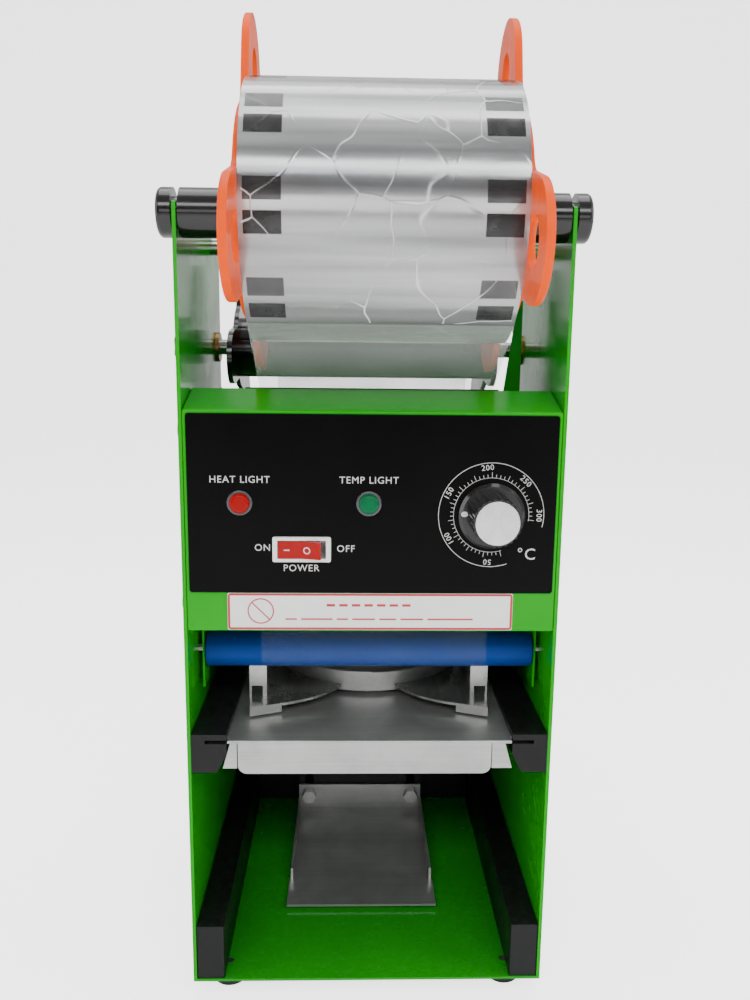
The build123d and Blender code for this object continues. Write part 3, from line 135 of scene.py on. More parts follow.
def shader_group(name: str, inputs: dict[str, tuple[str, object]], outputs: Sequence[str],
                 wire: Callable[[Wires, Node], Outputs]) -> bpy.types.NodeTree:
    """Make a shader node group.

    Args:
        name: The group's name.
        inputs: Input name to its socket type and default value.
        outputs: Names of the float outputs.
        wire: Builds the inside from the wires and the Group Input node, and returns output name to socket.

    Returns:
        The group's node tree.
    """
    tree = bpy.data.node_groups.new(name, "ShaderNodeTree")
    for key, (kind, value) in inputs.items():
        tree.interface.new_socket(name=key, in_out="INPUT", socket_type=kind).default_value = value
    for key in outputs:
        tree.interface.new_socket(name=key, in_out="OUTPUT", socket_type="NodeSocketFloat")
    wires = Wires(tree)
    entry = wires.add("NodeGroupInput")
    leave = wires.add("NodeGroupOutput")
    for key, socket in wire(wires, entry).items():
        tree.links.new(socket, leave.inputs[key])
    return tree


def place_of(wires: Wires) -> Socket:
    """Object coordinates."""
    return wires.add("ShaderNodeTexCoord").outputs["Object"]


def wire_paint(wires: Wires, entry: Node) -> Outputs:
    """Powder coat: fine orange peel, faint clouds and a rubbed gloss."""
    place = place_of(wires)
    peel = wires.noise(place, 620.0, 1.5)
    speck = wires.noise(place, 2400.0, 1.0)
    height = wires.maths("ADD", wires.maths("MULTIPLY", peel, 0.8), wires.maths("MULTIPLY", speck, 0.2))
    clouds = wires.noise(place, 9.0, 3.0)
    rub = wires.noise(place, 38.0, 4.0, 0.6, 0.4)
    return {"Height": height, "Tone": clouds, "Gloss": wires.span(rub, 0.0, 1.0, 0.35, 0.75)}


def wire_brushed(wires: Wires, entry: Node) -> Outputs:
    """Brushed sheet: long fine lines, a coarser drag and cloudy handling marks."""
    place = wires.stretch(place_of(wires), entry.outputs["Stretch"])
    fine = wires.noise(place, 1.0, 3.0, 0.7)
    drag = wires.noise(place, 0.22, 2.0, 0.6)
    lines = wires.maths("ADD", wires.maths("MULTIPLY", fine, 0.65), wires.maths("MULTIPLY", drag, 0.35))
    marks = wires.noise(place_of(wires), 26.0, 5.0, 0.62, 0.9)
    tone = wires.maths("ADD", wires.maths("MULTIPLY", lines, 0.5), wires.maths("MULTIPLY", marks, 0.5))
    return {"Height": lines, "Tone": tone, "Gloss": marks}


def wire_turned(wires: Wires, entry: Node) -> Outputs:
    """Turned face or wound edge: rings round an axis."""
    centred = wires.vector("SUBTRACT", place_of(wires), entry.outputs["Centre"])
    radius = wires.vector("LENGTH", wires.vector("MULTIPLY", centred, entry.outputs["Across"]))
    row = wires.add("ShaderNodeCombineXYZ", X=wires.maths("MULTIPLY", radius, entry.outputs["Rings"]))
    rings = wires.noise(row.outputs[0], 1.0, 3.0, 0.7)
    marks = wires.noise(place_of(wires), 60.0, 3.0)
    return {"Height": rings, "Tone": rings, "Gloss": marks}


def wire_moulded(wires: Wires, entry: Node) -> Outputs:
    """Moulded plastic or rubber: fine grain, flow clouds and light scuffs."""
    place = place_of(wires)
    grain = wires.noise(place, 1800.0, 2.0)
    flow = wires.noise(place, 22.0, 3.0, 0.5, 0.6)
    scuffs = wires.noise(wires.stretch(place, (40.0, 260.0, 90.0)), 1.0, 4.0, 0.7)
    return {"Height": grain, "Tone": flow, "Gloss": wires.span(scuffs, 0.0, 1.0, 0.3, 0.8)}


def wire_crumple(wires: Wires, entry: Node) -> Outputs:
    """Crumpled clear wrap: broad folds cut by sharp creases; its Tone marks the creases that the clear finishes paint
    as highlights.
    """
    place = place_of(wires)
    warp = wires.add("ShaderNodeTexNoise", Vector=place, Scale=24.0, Detail=2.0)
    bent = wires.vector("MULTIPLY_ADD", warp.outputs["Color"], (0.02, 0.02, 0.02), place)
    cells = wires.add("ShaderNodeTexVoronoi", {"feature": "DISTANCE_TO_EDGE"}, Vector=bent, Scale=34.0)
    small = wires.add("ShaderNodeTexVoronoi", {"feature": "F1"}, Vector=bent, Scale=95.0)
    crease = wires.span(cells.outputs["Distance"], 1.0, 0.0, 0.0, 0.026)
    folds = wires.noise(bent, 30.0, 3.0, 0.55, 0.8)
    height = wires.maths("ADD", wires.maths("MULTIPLY", folds, 0.8), wires.maths("MULTIPLY", crease, 0.35))
    height = wires.maths("ADD", height, wires.maths("MULTIPLY", small.outputs["Distance"], 0.15))
    highlight_patch = wires.span(wires.noise(place, 17.0, 2.0), 0.0, 1.0, 0.45, 0.62)
    # Tone: patches of crease, which the clear finishes paint whiter and opaque as painted highlights.
    return {"Height": height, "Tone": wires.maths("MULTIPLY", crease, highlight_patch), "Gloss": folds}


def wire_dust(wires: Wires, entry: Node) -> Outputs:
    """Dust on faces that look up, broken by a fine noise."""
    normal = wires.add("ShaderNodeNewGeometry").outputs["Normal"]
    facing = wires.add("ShaderNodeSeparateXYZ", Vector=normal).outputs["Z"]
    up = wires.span(facing, 0.0, 1.0, 0.55, 1.0)
    broken = wires.span(wires.noise(place_of(wires), 210.0, 4.0, 0.7), 0.0, 1.0, 0.45, 0.8)
    amount = wires.maths("MULTIPLY", wires.maths("MULTIPLY", up, broken), entry.outputs["Amount"])
    return {"Mask": amount}


class Skin(Enum):
    """Surface textures that the finishes choose among."""

    PAINT = "powder_coat"
    BRUSHED = "brushed_sheet"
    TURNED = "turned_rings"
    MOULDED = "moulded_grain"
    CRUMPLED = "crumpled_wrap"

    def group(self) -> bpy.types.NodeTree:
        """The skin's node group, made at its first use."""
        made = bpy.data.node_groups.get(self.value)
        if made is not None:
            return made
        inputs: dict[str, tuple[str, object]] = {}
        if self is Skin.BRUSHED:
            inputs["Stretch"] = ("NodeSocketVector", (20.0, 1500.0, 1500.0))
        if self is Skin.TURNED:
            inputs["Centre"] = ("NodeSocketVector", (0.0, 0.0, 0.0))
            inputs["Across"] = ("NodeSocketVector", (1.0, 0.0, 1.0))
            inputs["Rings"] = ("NodeSocketFloat", 3000.0)
        wires = {
            Skin.PAINT: wire_paint, Skin.BRUSHED: wire_brushed, Skin.TURNED: wire_turned,
            Skin.MOULDED: wire_moulded, Skin.CRUMPLED: wire_crumple,
        }
        return shader_group(self.value, inputs, ("Height", "Tone", "Gloss"), wires[self])


def dust_group() -> bpy.types.NodeTree:
    """The dust mask's node group, made at its first use."""
    made = bpy.data.node_groups.get("settled_dust")
    return made or shader_group("settled_dust", {"Amount": ("NodeSocketFloat", 0.3)}, ("Mask",), wire_dust)


# ---------------------------------------------------------------- finishes
@dataclass(frozen=True)
class Finish:
    """One surface finish, made into a material at its first use."""

    name: str
    slot: str
    light: Colour
    dark: Colour
    gloss: tuple[float, float]
    skin: Skin = Skin.MOULDED
    metallic: float = 0.0
    depth: float = 0.02
    relief: float = 0.15
    coat: float = 0.0
    coat_roughness: float = 0.06
    anisotropic: float = 0.0
    dust: float = 0.0
    specular: float = 0.5
    skin_values: dict[str, object] = field(default_factory=dict, hash=False, compare=False)

    def material(self) -> bpy.types.Material:
        """The finish's material, made at its first use."""
        made = bpy.data.materials.get(self.name)
        if made is not None:
            return made
        made = bpy.data.materials.new(self.name)
        made.use_nodes = True
        wires = Wires(made.node_tree)
        self.shade(wires, self.surface(wires))
        return made

    def surface(self, wires: Wires) -> Node:
        """The placed skin group."""
        node = wires.add("ShaderNodeGroup", {"node_tree": self.skin.group()})
        for key, value in self.skin_values.items():
            node.inputs[key].default_value = value
        return node

    def colour(self, wires: Wires, skin: Node) -> Socket:
        """The base colour, clouded by the skin and dusted."""
        share = wires.span(skin.outputs["Tone"], 0.0, 1.0, 0.3, 0.7)
        tinted = wires.mix(share, self.dark, self.light)
        if self.dust <= 0.0:
            return tinted
        mask = wires.add("ShaderNodeGroup", {"node_tree": dust_group()})
        mask.inputs["Amount"].default_value = self.dust
        return wires.mix(mask.outputs["Mask"], tinted, (0.55, 0.54, 0.5))

    def shade(self, wires: Wires, skin: Node) -> Node:
        """Join the skin to a Principled shader and return the shader."""
        bump = wires.add("ShaderNodeBump", Strength=self.relief, Distance=self.depth * MM,
                         Height=skin.outputs["Height"])
        shader = wires.add(
            "ShaderNodeBsdfPrincipled",
            Base_Color=self.colour(wires, skin),
            Roughness=wires.span(skin.outputs["Gloss"], self.gloss[0], self.gloss[1]),
            Metallic=self.metallic,
            Coat_Weight=self.coat,
            Coat_Roughness=self.coat_roughness,
            Anisotropic=self.anisotropic,
            Specular_IOR_Level=self.specular,
            Normal=bump.outputs[0],
        )
        wires.add("ShaderNodeOutputMaterial", Surface=shader.outputs[0])
        return shader


@dataclass(frozen=True)
class LensFinish(Finish):
    """Tinted lamp lens with a faceted inside and a faint glow."""

    glow: Colour = (1.0, 0.1, 0.05)

    def shade(self, wires: Wires, skin: Node) -> Node:
        """Add facets under the lens."""
        facets = wires.add("ShaderNodeTexVoronoi", {"feature": "F1"}, Vector=place_of(wires), Scale=900.0)
        bump = wires.add("ShaderNodeBump", Strength=0.5, Distance=0.12 * MM, Height=facets.outputs["Distance"])
        shader = wires.add(
            "ShaderNodeBsdfPrincipled", Base_Color=self.colour(wires, skin), Roughness=0.2, Coat_Weight=0.1,
            Coat_Roughness=0.03, Specular_IOR_Level=0.1, Emission_Strength=0.08, Normal=bump.outputs[0],
        )
        wires.plug(shader, "Emission Color", wires.mix(facets.outputs["Distance"], self.glow, self.light))
        wires.add("ShaderNodeOutputMaterial", Surface=shader.outputs[0])
        return shader


@dataclass(frozen=True)
class SpunFinish(Finish):
    """Face turned on a lathe, whose highlights stretch across its rings."""

    middle: Sequence[float] = (0.0, 0.0, 0.0)

    def shade(self, wires: Wires, skin: Node) -> Node:
        """Run the tangent round the face's middle."""
        shader = super().shade(wires, skin)
        reach = wires.vector("SUBTRACT", place_of(wires), self.middle)
        around = wires.vector("CROSS_PRODUCT", reach, (0.0, 1.0, 0.0))
        wires.plug(shader, "Tangent", wires.vector("NORMALIZE", around))
        return shader


@dataclass(frozen=True)
class FilmFinish(Finish):
    """Wound clear film: pale silver layers under printed sensor marks."""

    ink: Colour = (0.004, 0.004, 0.0045)

    def colour(self, wires: Wires, skin: Node) -> Socket:
        """Silver in dark and light bands round the roll, which are painted reflection, with the marks on top."""
        # Painted reflection: random dark and light bands round the roll stand in for its banded reflections.
        reflection_bands = wires.stretch(place_of(wires), (3.0, 60.0, 60.0))
        layers = wires.span(wires.noise(reflection_bands, 1.0, 3.0), 0.0, 1.0, 0.35, 0.65)
        base = wires.mix(layers, self.dark, self.light)
        ink = wires.add("ShaderNodeAttribute", {"attribute_name": "ink"}).outputs["Fac"]
        worn = wires.span(wires.noise(place_of(wires), 150.0, 3.0), 0.94, 1.0, 0.3, 0.6)
        return wires.mix(wires.maths("MULTIPLY", ink, worn), base, self.ink)


@dataclass(frozen=True)
class ClearFinish(Finish):
    """Clear film or wrap, seen by its creases and highlights."""

    least: float = 0.1
    most: float = 0.7
    clear_below: float = 0.0

    def shade(self, wires: Wires, skin: Node) -> Node:
        """Let most light through between the creases, which are painted whiter and opaque as highlights."""
        shader = super().shade(wires, skin)
        haze = wires.span(wires.noise(place_of(wires), 30.0, 3.0), self.least * 0.6, self.least * 1.4)
        # Painted highlight: the creases are made whiter and opaque.
        crease = wires.span(skin.outputs["Tone"], 0.0, self.most, 0.2, 1.0)
        cover = wires.maths("MAXIMUM", haze, crease)
        # The web is drawn nearly clear below clear_below and hazier above it.
        if self.clear_below > 0.0:
            height = wires.add("ShaderNodeSeparateXYZ", Vector=place_of(wires)).outputs["Z"]
            upper_share = wires.span(height, 0.12, 1.0, self.clear_below - 0.01, self.clear_below + 0.01)
            cover = wires.maths("MULTIPLY", cover, upper_share)
        wires.plug(shader, "Alpha", cover)
        return shader


def along(axis: str, fine: float = 1500.0, slow: float = 18.0) -> dict[str, object]:
    """Stretch values for brush lines that run along one axis."""
    return {"Stretch": tuple(slow if name == axis else fine for name in "XYZ")}


GREEN = Finish("green_powder_coat", "green_paint", (0.0015, 0.32, 0.003), (0.001, 0.27, 0.002), (0.14, 0.26),
               Skin.PAINT, depth=0.03, relief=0.2, coat=0.06, coat_roughness=0.04, dust=0.02, specular=0.1)
# Darker copy of the green coat for the base plate: the darker colour is painted shade, the extra dust is real.
GREEN_PAINTED_SHADE = Finish("green_powder_coat_painted_shade", "green_paint", (0.0015, 0.27, 0.003), (0.001, 0.22, 0.002),
                      (0.2, 0.32), Skin.PAINT, depth=0.03, relief=0.2, coat=0.1, coat_roughness=0.08,
                      dust=0.05, specular=0.22)
BLACK_PAINT = Finish("black_satin_coat", "black_paint", (0.008, 0.008, 0.009), (0.004, 0.004, 0.0045), (0.34, 0.5),
                     Skin.PAINT, depth=0.04, relief=0.3, dust=0.03, specular=0.22)
BLACK_GLOSS = Finish("black_gloss_moulding", "black_plastic", (0.006, 0.006, 0.0065), (0.003, 0.003, 0.0035),
                     (0.12, 0.24), Skin.MOULDED, depth=0.01, relief=0.1, coat=0.2, dust=0.03, specular=0.4)
BLACK_PLASTIC = Finish("black_fine_plastic", "black_plastic", (0.009, 0.009, 0.0095), (0.005, 0.005, 0.0055),
                       (0.28, 0.45), Skin.MOULDED, depth=0.03, relief=0.25, dust=0.03, specular=0.3)
BLACK_RUBBER = Finish("black_rubber_foot", "black_rubber", (0.012, 0.012, 0.012), (0.006, 0.006, 0.006), (0.45, 0.7),
                      Skin.MOULDED, depth=0.05, relief=0.4, dust=0.08, specular=0.3)
PANEL = Finish("panel_overlay", "panel_black", (0.0035, 0.0035, 0.0038), (0.002, 0.002, 0.0022), (0.16, 0.22),
               Skin.PAINT, depth=0.01, relief=0.06, specular=0.05)
INK = Finish("pale_print", "label_white", (0.62, 0.62, 0.6), (0.5, 0.5, 0.49), (0.4, 0.6))
RED_INK = Finish("red_print", "red_plastic", (0.5, 0.01, 0.025), (0.42, 0.008, 0.02), (0.4, 0.6))
LABEL = Finish("label_stock", "label_white", (0.84, 0.83, 0.81), (0.78, 0.77, 0.75), (0.3, 0.42), relief=0.05)
WHITE = Finish("white_switch_plastic", "white_plastic", (0.86, 0.86, 0.84), (0.8, 0.8, 0.78), (0.22, 0.36),
               relief=0.1)
RED = Finish("red_rocker_plastic", "red_plastic", (0.34, 0.002, 0.002), (0.27, 0.0015, 0.0015), (0.16, 0.28),
             relief=0.08, specular=0.2)
ORANGE = Finish("orange_moulding", "orange_plastic", (0.86, 0.075, 0.0), (0.76, 0.065, 0.0), (0.3, 0.42),
                relief=0.1, specular=0.06)
BLUE = Finish("blue_roller_sleeve", "blue_rubber", (0.001, 0.042, 0.24), (0.001, 0.034, 0.2), (0.28, 0.42),
              Skin.BRUSHED, depth=0.02, relief=0.1, specular=0.1, skin_values=along("Y", 700.0, 500.0))
CARD = Finish("grey_card_tube", "card_core", (0.45, 0.36, 0.26), (0.36, 0.28, 0.2), (0.7, 0.9), depth=0.1, relief=0.5)
STAINLESS = Finish("brushed_stainless", "stainless", (0.5, 0.5, 0.49), (0.3, 0.3, 0.3), (0.24, 0.44), Skin.BRUSHED,
                   0.72, 0.012, 0.2, anisotropic=0.35, dust=0.03, skin_values=along("X"))
STAINLESS_DEEP = Finish("brushed_stainless_lengthways", "stainless", (0.52, 0.52, 0.51), (0.26, 0.26, 0.26),
                        (0.18, 0.36), Skin.BRUSHED, 0.88, 0.012, 0.2, anisotropic=0.35, dust=0.03,
                        skin_values=along("Y"))
BRIGHT_STEEL = Finish("ground_steel", "bright_steel", (0.5, 0.5, 0.51), (0.38, 0.38, 0.39), (0.14, 0.3), Skin.BRUSHED,
                      1.0, 0.008, 0.15, skin_values=along("Y", 1800.0, 900.0))
TOOL_STEEL = Finish("hardened_steel", "tool_steel", (0.36, 0.36, 0.37), (0.24, 0.24, 0.25), (0.25, 0.45),
                    Skin.BRUSHED, 1.0, 0.012, 0.25, skin_values=along("Z"))
ALUMINIUM = Finish("machined_aluminium", "machined_aluminium", (0.66, 0.67, 0.68), (0.52, 0.53, 0.54), (0.24, 0.42),
                   Skin.BRUSHED, 1.0, 0.012, 0.2, skin_values=along("X"))
RING = Finish("turned_ring", "machined_aluminium", (0.5, 0.5, 0.49), (0.3, 0.3, 0.3), (0.24, 0.42), Skin.BRUSHED,
              0.8, 0.012, 0.2, dust=0.04, skin_values=along("X", 1200.0, 1000.0))
ZINC = Finish("zinc_screw", "zinc_hardware", (0.6, 0.6, 0.57), (0.44, 0.44, 0.42), (0.25, 0.45), Skin.BRUSHED,
              1.0, 0.01, 0.2, skin_values=along("Z", 1200.0, 300.0))
BRONZE = Finish("oiled_bronze", "bronze", (0.42, 0.26, 0.1), (0.3, 0.18, 0.06), (0.3, 0.5), Skin.MOULDED, 1.0,
                0.02, 0.3)
SILICONE = Finish("red_silicone", "silicone_red", (0.35, 0.04, 0.03), (0.27, 0.03, 0.025), (0.4, 0.6), relief=0.3)
CHROME = Finish("polished_ring", "bezel_grey", (0.1, 0.1, 0.11), (0.06, 0.06, 0.065), (0.12, 0.25), Skin.MOULDED, 0.8)
RED_LENS = LensFinish("red_lamp_lens", "red_lens", (0.34, 0.0, 0.0), (0.22, 0.0, 0.0), (0.15, 0.2),
                      glow=(0.5, 0.0, 0.0))
GREEN_LENS = LensFinish("green_lamp_lens", "green_lens", (0.0, 0.12, 0.04), (0.0, 0.06, 0.02), (0.15, 0.2),
                        glow=(0.0, 0.2, 0.07))
WOUND = FilmFinish("wound_film", "clear_film", (0.5, 0.505, 0.51), (0.15, 0.155, 0.16), (0.08, 0.2), Skin.CRUMPLED,
                   0.6, 0.4, 0.3, coat=0.12, coat_roughness=0.03, specular=0.3)
# The wrap's creases are painted white: painted highlights.
WRAP = ClearFinish("clear_wrap", "clear_film", (0.9, 0.9, 0.9), (0.7, 0.7, 0.7), (0.04, 0.14), Skin.CRUMPLED,
                   0.0, 0.9, 0.8, coat=0.6, coat_roughness=0.03, least=0.025, most=0.85)
WEB = ClearFinish("clear_web", "clear_film", (0.72, 0.74, 0.73), (0.5, 0.52, 0.51), (0.05, 0.16), Skin.CRUMPLED,
                  0.0, 0.6, 0.4, coat=0.5, coat_roughness=0.04, least=0.2, most=0.3, clear_below=0.34)


# ---------------------------------------------------------------- piece helpers
def dress(finish: Finish, *nodes: str) -> None:
    """Give CAD nodes their material.

    Args:
        finish: The finish to use.
        nodes: Names of the CAD nodes.
    """
    for name in nodes:
        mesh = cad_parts[name].data
        mesh.materials.clear()
        mesh.materials.append(finish.material())
        LOG.info("dressed %s in %s", name, finish.name)


def new_object(name: str, shape: Shape) -> bpy.types.Object:
    """Turn a finished bmesh into a smooth object, and free it."""
    mesh = bpy.data.meshes.new(name)
    shape.to_mesh(mesh)
    shape.free()
    for face in mesh.polygons:
        face.use_smooth = True
    made = bpy.data.objects.new(name, mesh)
    bpy.context.scene.collection.objects.link(made)
    return made


def piece(name: str, shape: Shape, finish: Finish, body: str, crease: float = 35.0,
          replaces: Sequence[str] = ()) -> bpy.types.Object:
    """Turn a finished bmesh into a named piece that rides on a body.

    Args:
        name: The piece's name.
        shape: The bmesh, freed afterwards.
        finish: Its finish.
        body: The CAD body it rides on.
        crease: Edges sharper than this many degrees stay sharp.
        replaces: CAD nodes it stands for.

    Returns:
        The new object.
    """
    made = new_object(name, shape)
    mesh = made.data
    mesh.set_sharp_from_angle(angle=math.radians(crease))
    mesh.materials.append(finish.material())
    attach(made, body)
    if replaces:
        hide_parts(*replaces)
    LOG.info("built %s: %d faces on %s", name, len(mesh.polygons), body)
    return made


def thicken(shape: Shape, thickness: float) -> None:
    """Give flat faces a thickness and turn every normal outwards."""
    bmesh.ops.solidify(shape, geom=shape.faces[:], thickness=thickness)
    bmesh.ops.recalc_face_normals(shape, faces=shape.faces[:])


def centre_of(node: str) -> Vector:
    """Middle of a CAD node's box."""
    low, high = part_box(node)
    return (low + high) / 2


def clock(turn: float, reach: float) -> Vector:
    """Offset on a face that looks at the user, from clockwise degrees past up and a distance."""
    angle = math.radians(turn)
    return Vector((math.sin(angle) * reach, 0, math.cos(angle) * reach))


def flat_bar(shape: Shape, centre: Vector, width: float, height: float, turn: float = 0.0) -> None:
    """Add a flat rectangle that faces the user.

    Args:
        shape: The bmesh to add to.
        centre: Its middle.
        width: Size along its own X.
        height: Size along its own Z.
        turn: Clockwise turn in degrees as the user sees it.
    """
    made = bmesh.ops.create_grid(shape, x_segments=1, y_segments=1, size=0.5)["verts"]
    bmesh.ops.scale(shape, vec=(width, height, 1.0), verts=made)
    bmesh.ops.rotate(shape, cent=(0, 0, 0), matrix=Matrix.Rotation(math.radians(90), 3, "X"), verts=made)
    bmesh.ops.rotate(shape, cent=(0, 0, 0), matrix=Matrix.Rotation(math.radians(turn), 3, "Y"), verts=made)
    bmesh.ops.translate(shape, vec=centre, verts=made)


def flat_arc(shape: Shape, centre: Vector, radius: float, width: float, start: float, sweep: float,
             steps: int = 96) -> None:
    """Add a flat arc line that faces the user; angles in degrees, clockwise from up."""
    ends = [shape.verts.new(centre + clock(start, reach)) for reach in (radius - width / 2, radius + width / 2)]
    edge = shape.edges.new(ends)
    bmesh.ops.spin(shape, geom=[*ends, edge], cent=centre, axis=(0, 1, 0), angle=math.radians(sweep), steps=steps,
                   use_merge=sweep >= 360.0)


def lettering(shape: Shape, text: str, centre: Vector, size: float, turn: float = 0.0,
              spacing: float = 1.12) -> None:
    """Add flat lettering that faces the user, centred on a point.

    Args:
        shape: The bmesh to add to.
        text: Plain generic words or numbers.
        centre: Middle of the lettering.
        size: Letter size.
        turn: Clockwise turn in degrees.
        spacing: Room between letters, as a share of the font's own.
    """
    curve = bpy.data.curves.new("lettering", "FONT")
    curve.body = text
    curve.size = size
    curve.space_character = spacing
    curve.align_x = "CENTER"
    curve.align_y = "CENTER"
    curve.resolution_u = 3
    holder = bpy.data.objects.new("lettering", curve)
    mesh = bpy.data.meshes.new_from_object(holder)
    mesh.transform(Matrix.Translation(centre) @ Matrix.Rotation(math.radians(turn), 4, "Y")
                   @ Matrix.Rotation(math.radians(90), 4, "X"))
    shape.from_mesh(mesh)
    bpy.data.objects.remove(holder)
    bpy.data.curves.remove(curve)
    bpy.data.meshes.remove(mesh)


# ---------------------------------------------------------------- sub-assemblies
PRINT_LIFT = 0.00004
PRINT_THICKNESS = 0.00006


@dataclass
class Cabinet:
    """Side plates, base, back, rails, feet and the screws that hold them."""

    screw_places: tuple[tuple[float, float], ...] = (
        (0.030, 0.144), (0.165, 0.144), (0.025, 0.026), (0.180, 0.026), (0.013, 0.235), (0.013, 0.330),
        (0.105, 0.241), (0.165, 0.241), (0.070, 0.300), (0.150, 0.300), (0.112, 0.434),
    )
    head_radius: float = 0.0038
    head_height: float = 0.0022
    recess_depth: float = 0.0012
    recess_width: float = 0.0009
    recess_reach: float = 0.0021
    head_segments: int = 32
    head_profile: tuple[tuple[float, float], ...] = ((0.0, 1.0), (0.45, 0.98), (0.8, 0.8), (0.95, 0.5), (1.0, 0.22))
    turn_step: float = 0.7

    def build(self) -> None:
        """Dress the CAD nodes and add the screw heads."""
        dress(GREEN, "side_plate_left", "side_plate_right", "head_cover", "reel_bracket", "roller_brackets")
        # The base plate takes the darker green copy: painted shade.
        dress(GREEN_PAINTED_SHADE, "base_plate")
        # The rear cover is coated black: partly its own colour, partly painted shade for the dark back of the bay.
        dress(BLACK_PAINT, "rear_cover", "base_bars", "drawer_rails", "slot_strip")
        dress(BLACK_RUBBER, "rubber_feet")
        dress(BLACK_PLASTIC, "cable_gland")
        dress(BRIGHT_STEEL, "rear_tie_rod", "roller_spindles")
        self.screws()

    def screw_head(self) -> Shape:
        """One domed head with a cross recess, on the origin and facing +X.

        Returns:
            The head as a bmesh.
        """
        shape = bmesh.new()
        rings = []
        for share, radius in self.head_profile:
            circle = bmesh.ops.create_circle(shape, cap_ends=False, radius=radius * self.head_radius,
                                             segments=self.head_segments)["verts"]
            bmesh.ops.rotate(shape, cent=(0, 0, 0), matrix=Matrix.Rotation(math.radians(90), 3, "Y"), verts=circle)
            bmesh.ops.translate(shape, vec=(share * self.head_height, 0, 0), verts=circle)
            rings.append({edge for vert in circle for edge in vert.link_edges})
        for first, second in zip(rings, rings[1:]):
            bmesh.ops.bridge_loops(shape, edges=list(first | second))
        bmesh.ops.holes_fill(shape, edges=shape.edges[:], sides=0)
        bmesh.ops.recalc_face_normals(shape, faces=shape.faces[:])
        return shape

    def cross(self) -> Shape:
        """The cutter for a head's cross recess.

        Returns:
            Two crossed blocks as a bmesh.
        """
        shape = bmesh.new()
        for wide, tall in ((self.recess_reach * 2, self.recess_width), (self.recess_width, self.recess_reach * 2)):
            made = bmesh.ops.create_cube(shape, size=1.0)["verts"]
            bmesh.ops.scale(shape, vec=(self.recess_depth * 2, wide, tall), verts=made)
            bmesh.ops.translate(shape, vec=(self.head_height, 0, 0), verts=made)
        return shape

    def recessed_head(self) -> bpy.types.Mesh:
        """A head's mesh with its recess cut.

        Returns:
            The mesh of one screw head.
        """
        head, cutter = new_object("head", self.screw_head()), new_object("cutter", self.cross())
        cut = head.modifiers.new("recess", "BOOLEAN")
        cut.operation = "DIFFERENCE"
        cut.solver = "EXACT"
        cut.use_self = True
        cut.object = cutter
        graph = bpy.context.evaluated_depsgraph_get()
        mesh = bpy.data.meshes.new_from_object(head.evaluated_get(graph))
        for made in (head, cutter):
            bpy.data.objects.remove(made)
        return mesh

    def screws(self) -> None:
        """Place a recessed head at every screw of both side plates, and dress the CAD screws in zinc."""
        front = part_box("side_plate_left")[0].y
        head = self.recessed_head()
        shape = bmesh.new()
        for side, node in ((-1, "side_plate_left"), (1, "side_plate_right")):
            low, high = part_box(node)
            face = high.x if side > 0 else low.x
            for order, (deep, height) in enumerate(self.screw_places):
                before = set(shape.verts)
                shape.from_mesh(head)
                added = [vert for vert in shape.verts if vert not in before]
                turn = Matrix.Rotation(self.turn_step * order + side, 3, "X")
                bmesh.ops.rotate(shape, cent=(0, 0, 0), matrix=turn, verts=added)
                bmesh.ops.scale(shape, vec=(side, 1, 1), verts=added)
                bmesh.ops.translate(shape, vec=(face, front + deep, height), verts=added)
        bmesh.ops.recalc_face_normals(shape, faces=shape.faces[:])
        piece("panel_screw_heads", shape, ZINC, "frame")
        dress(ZINC, "body_screws")


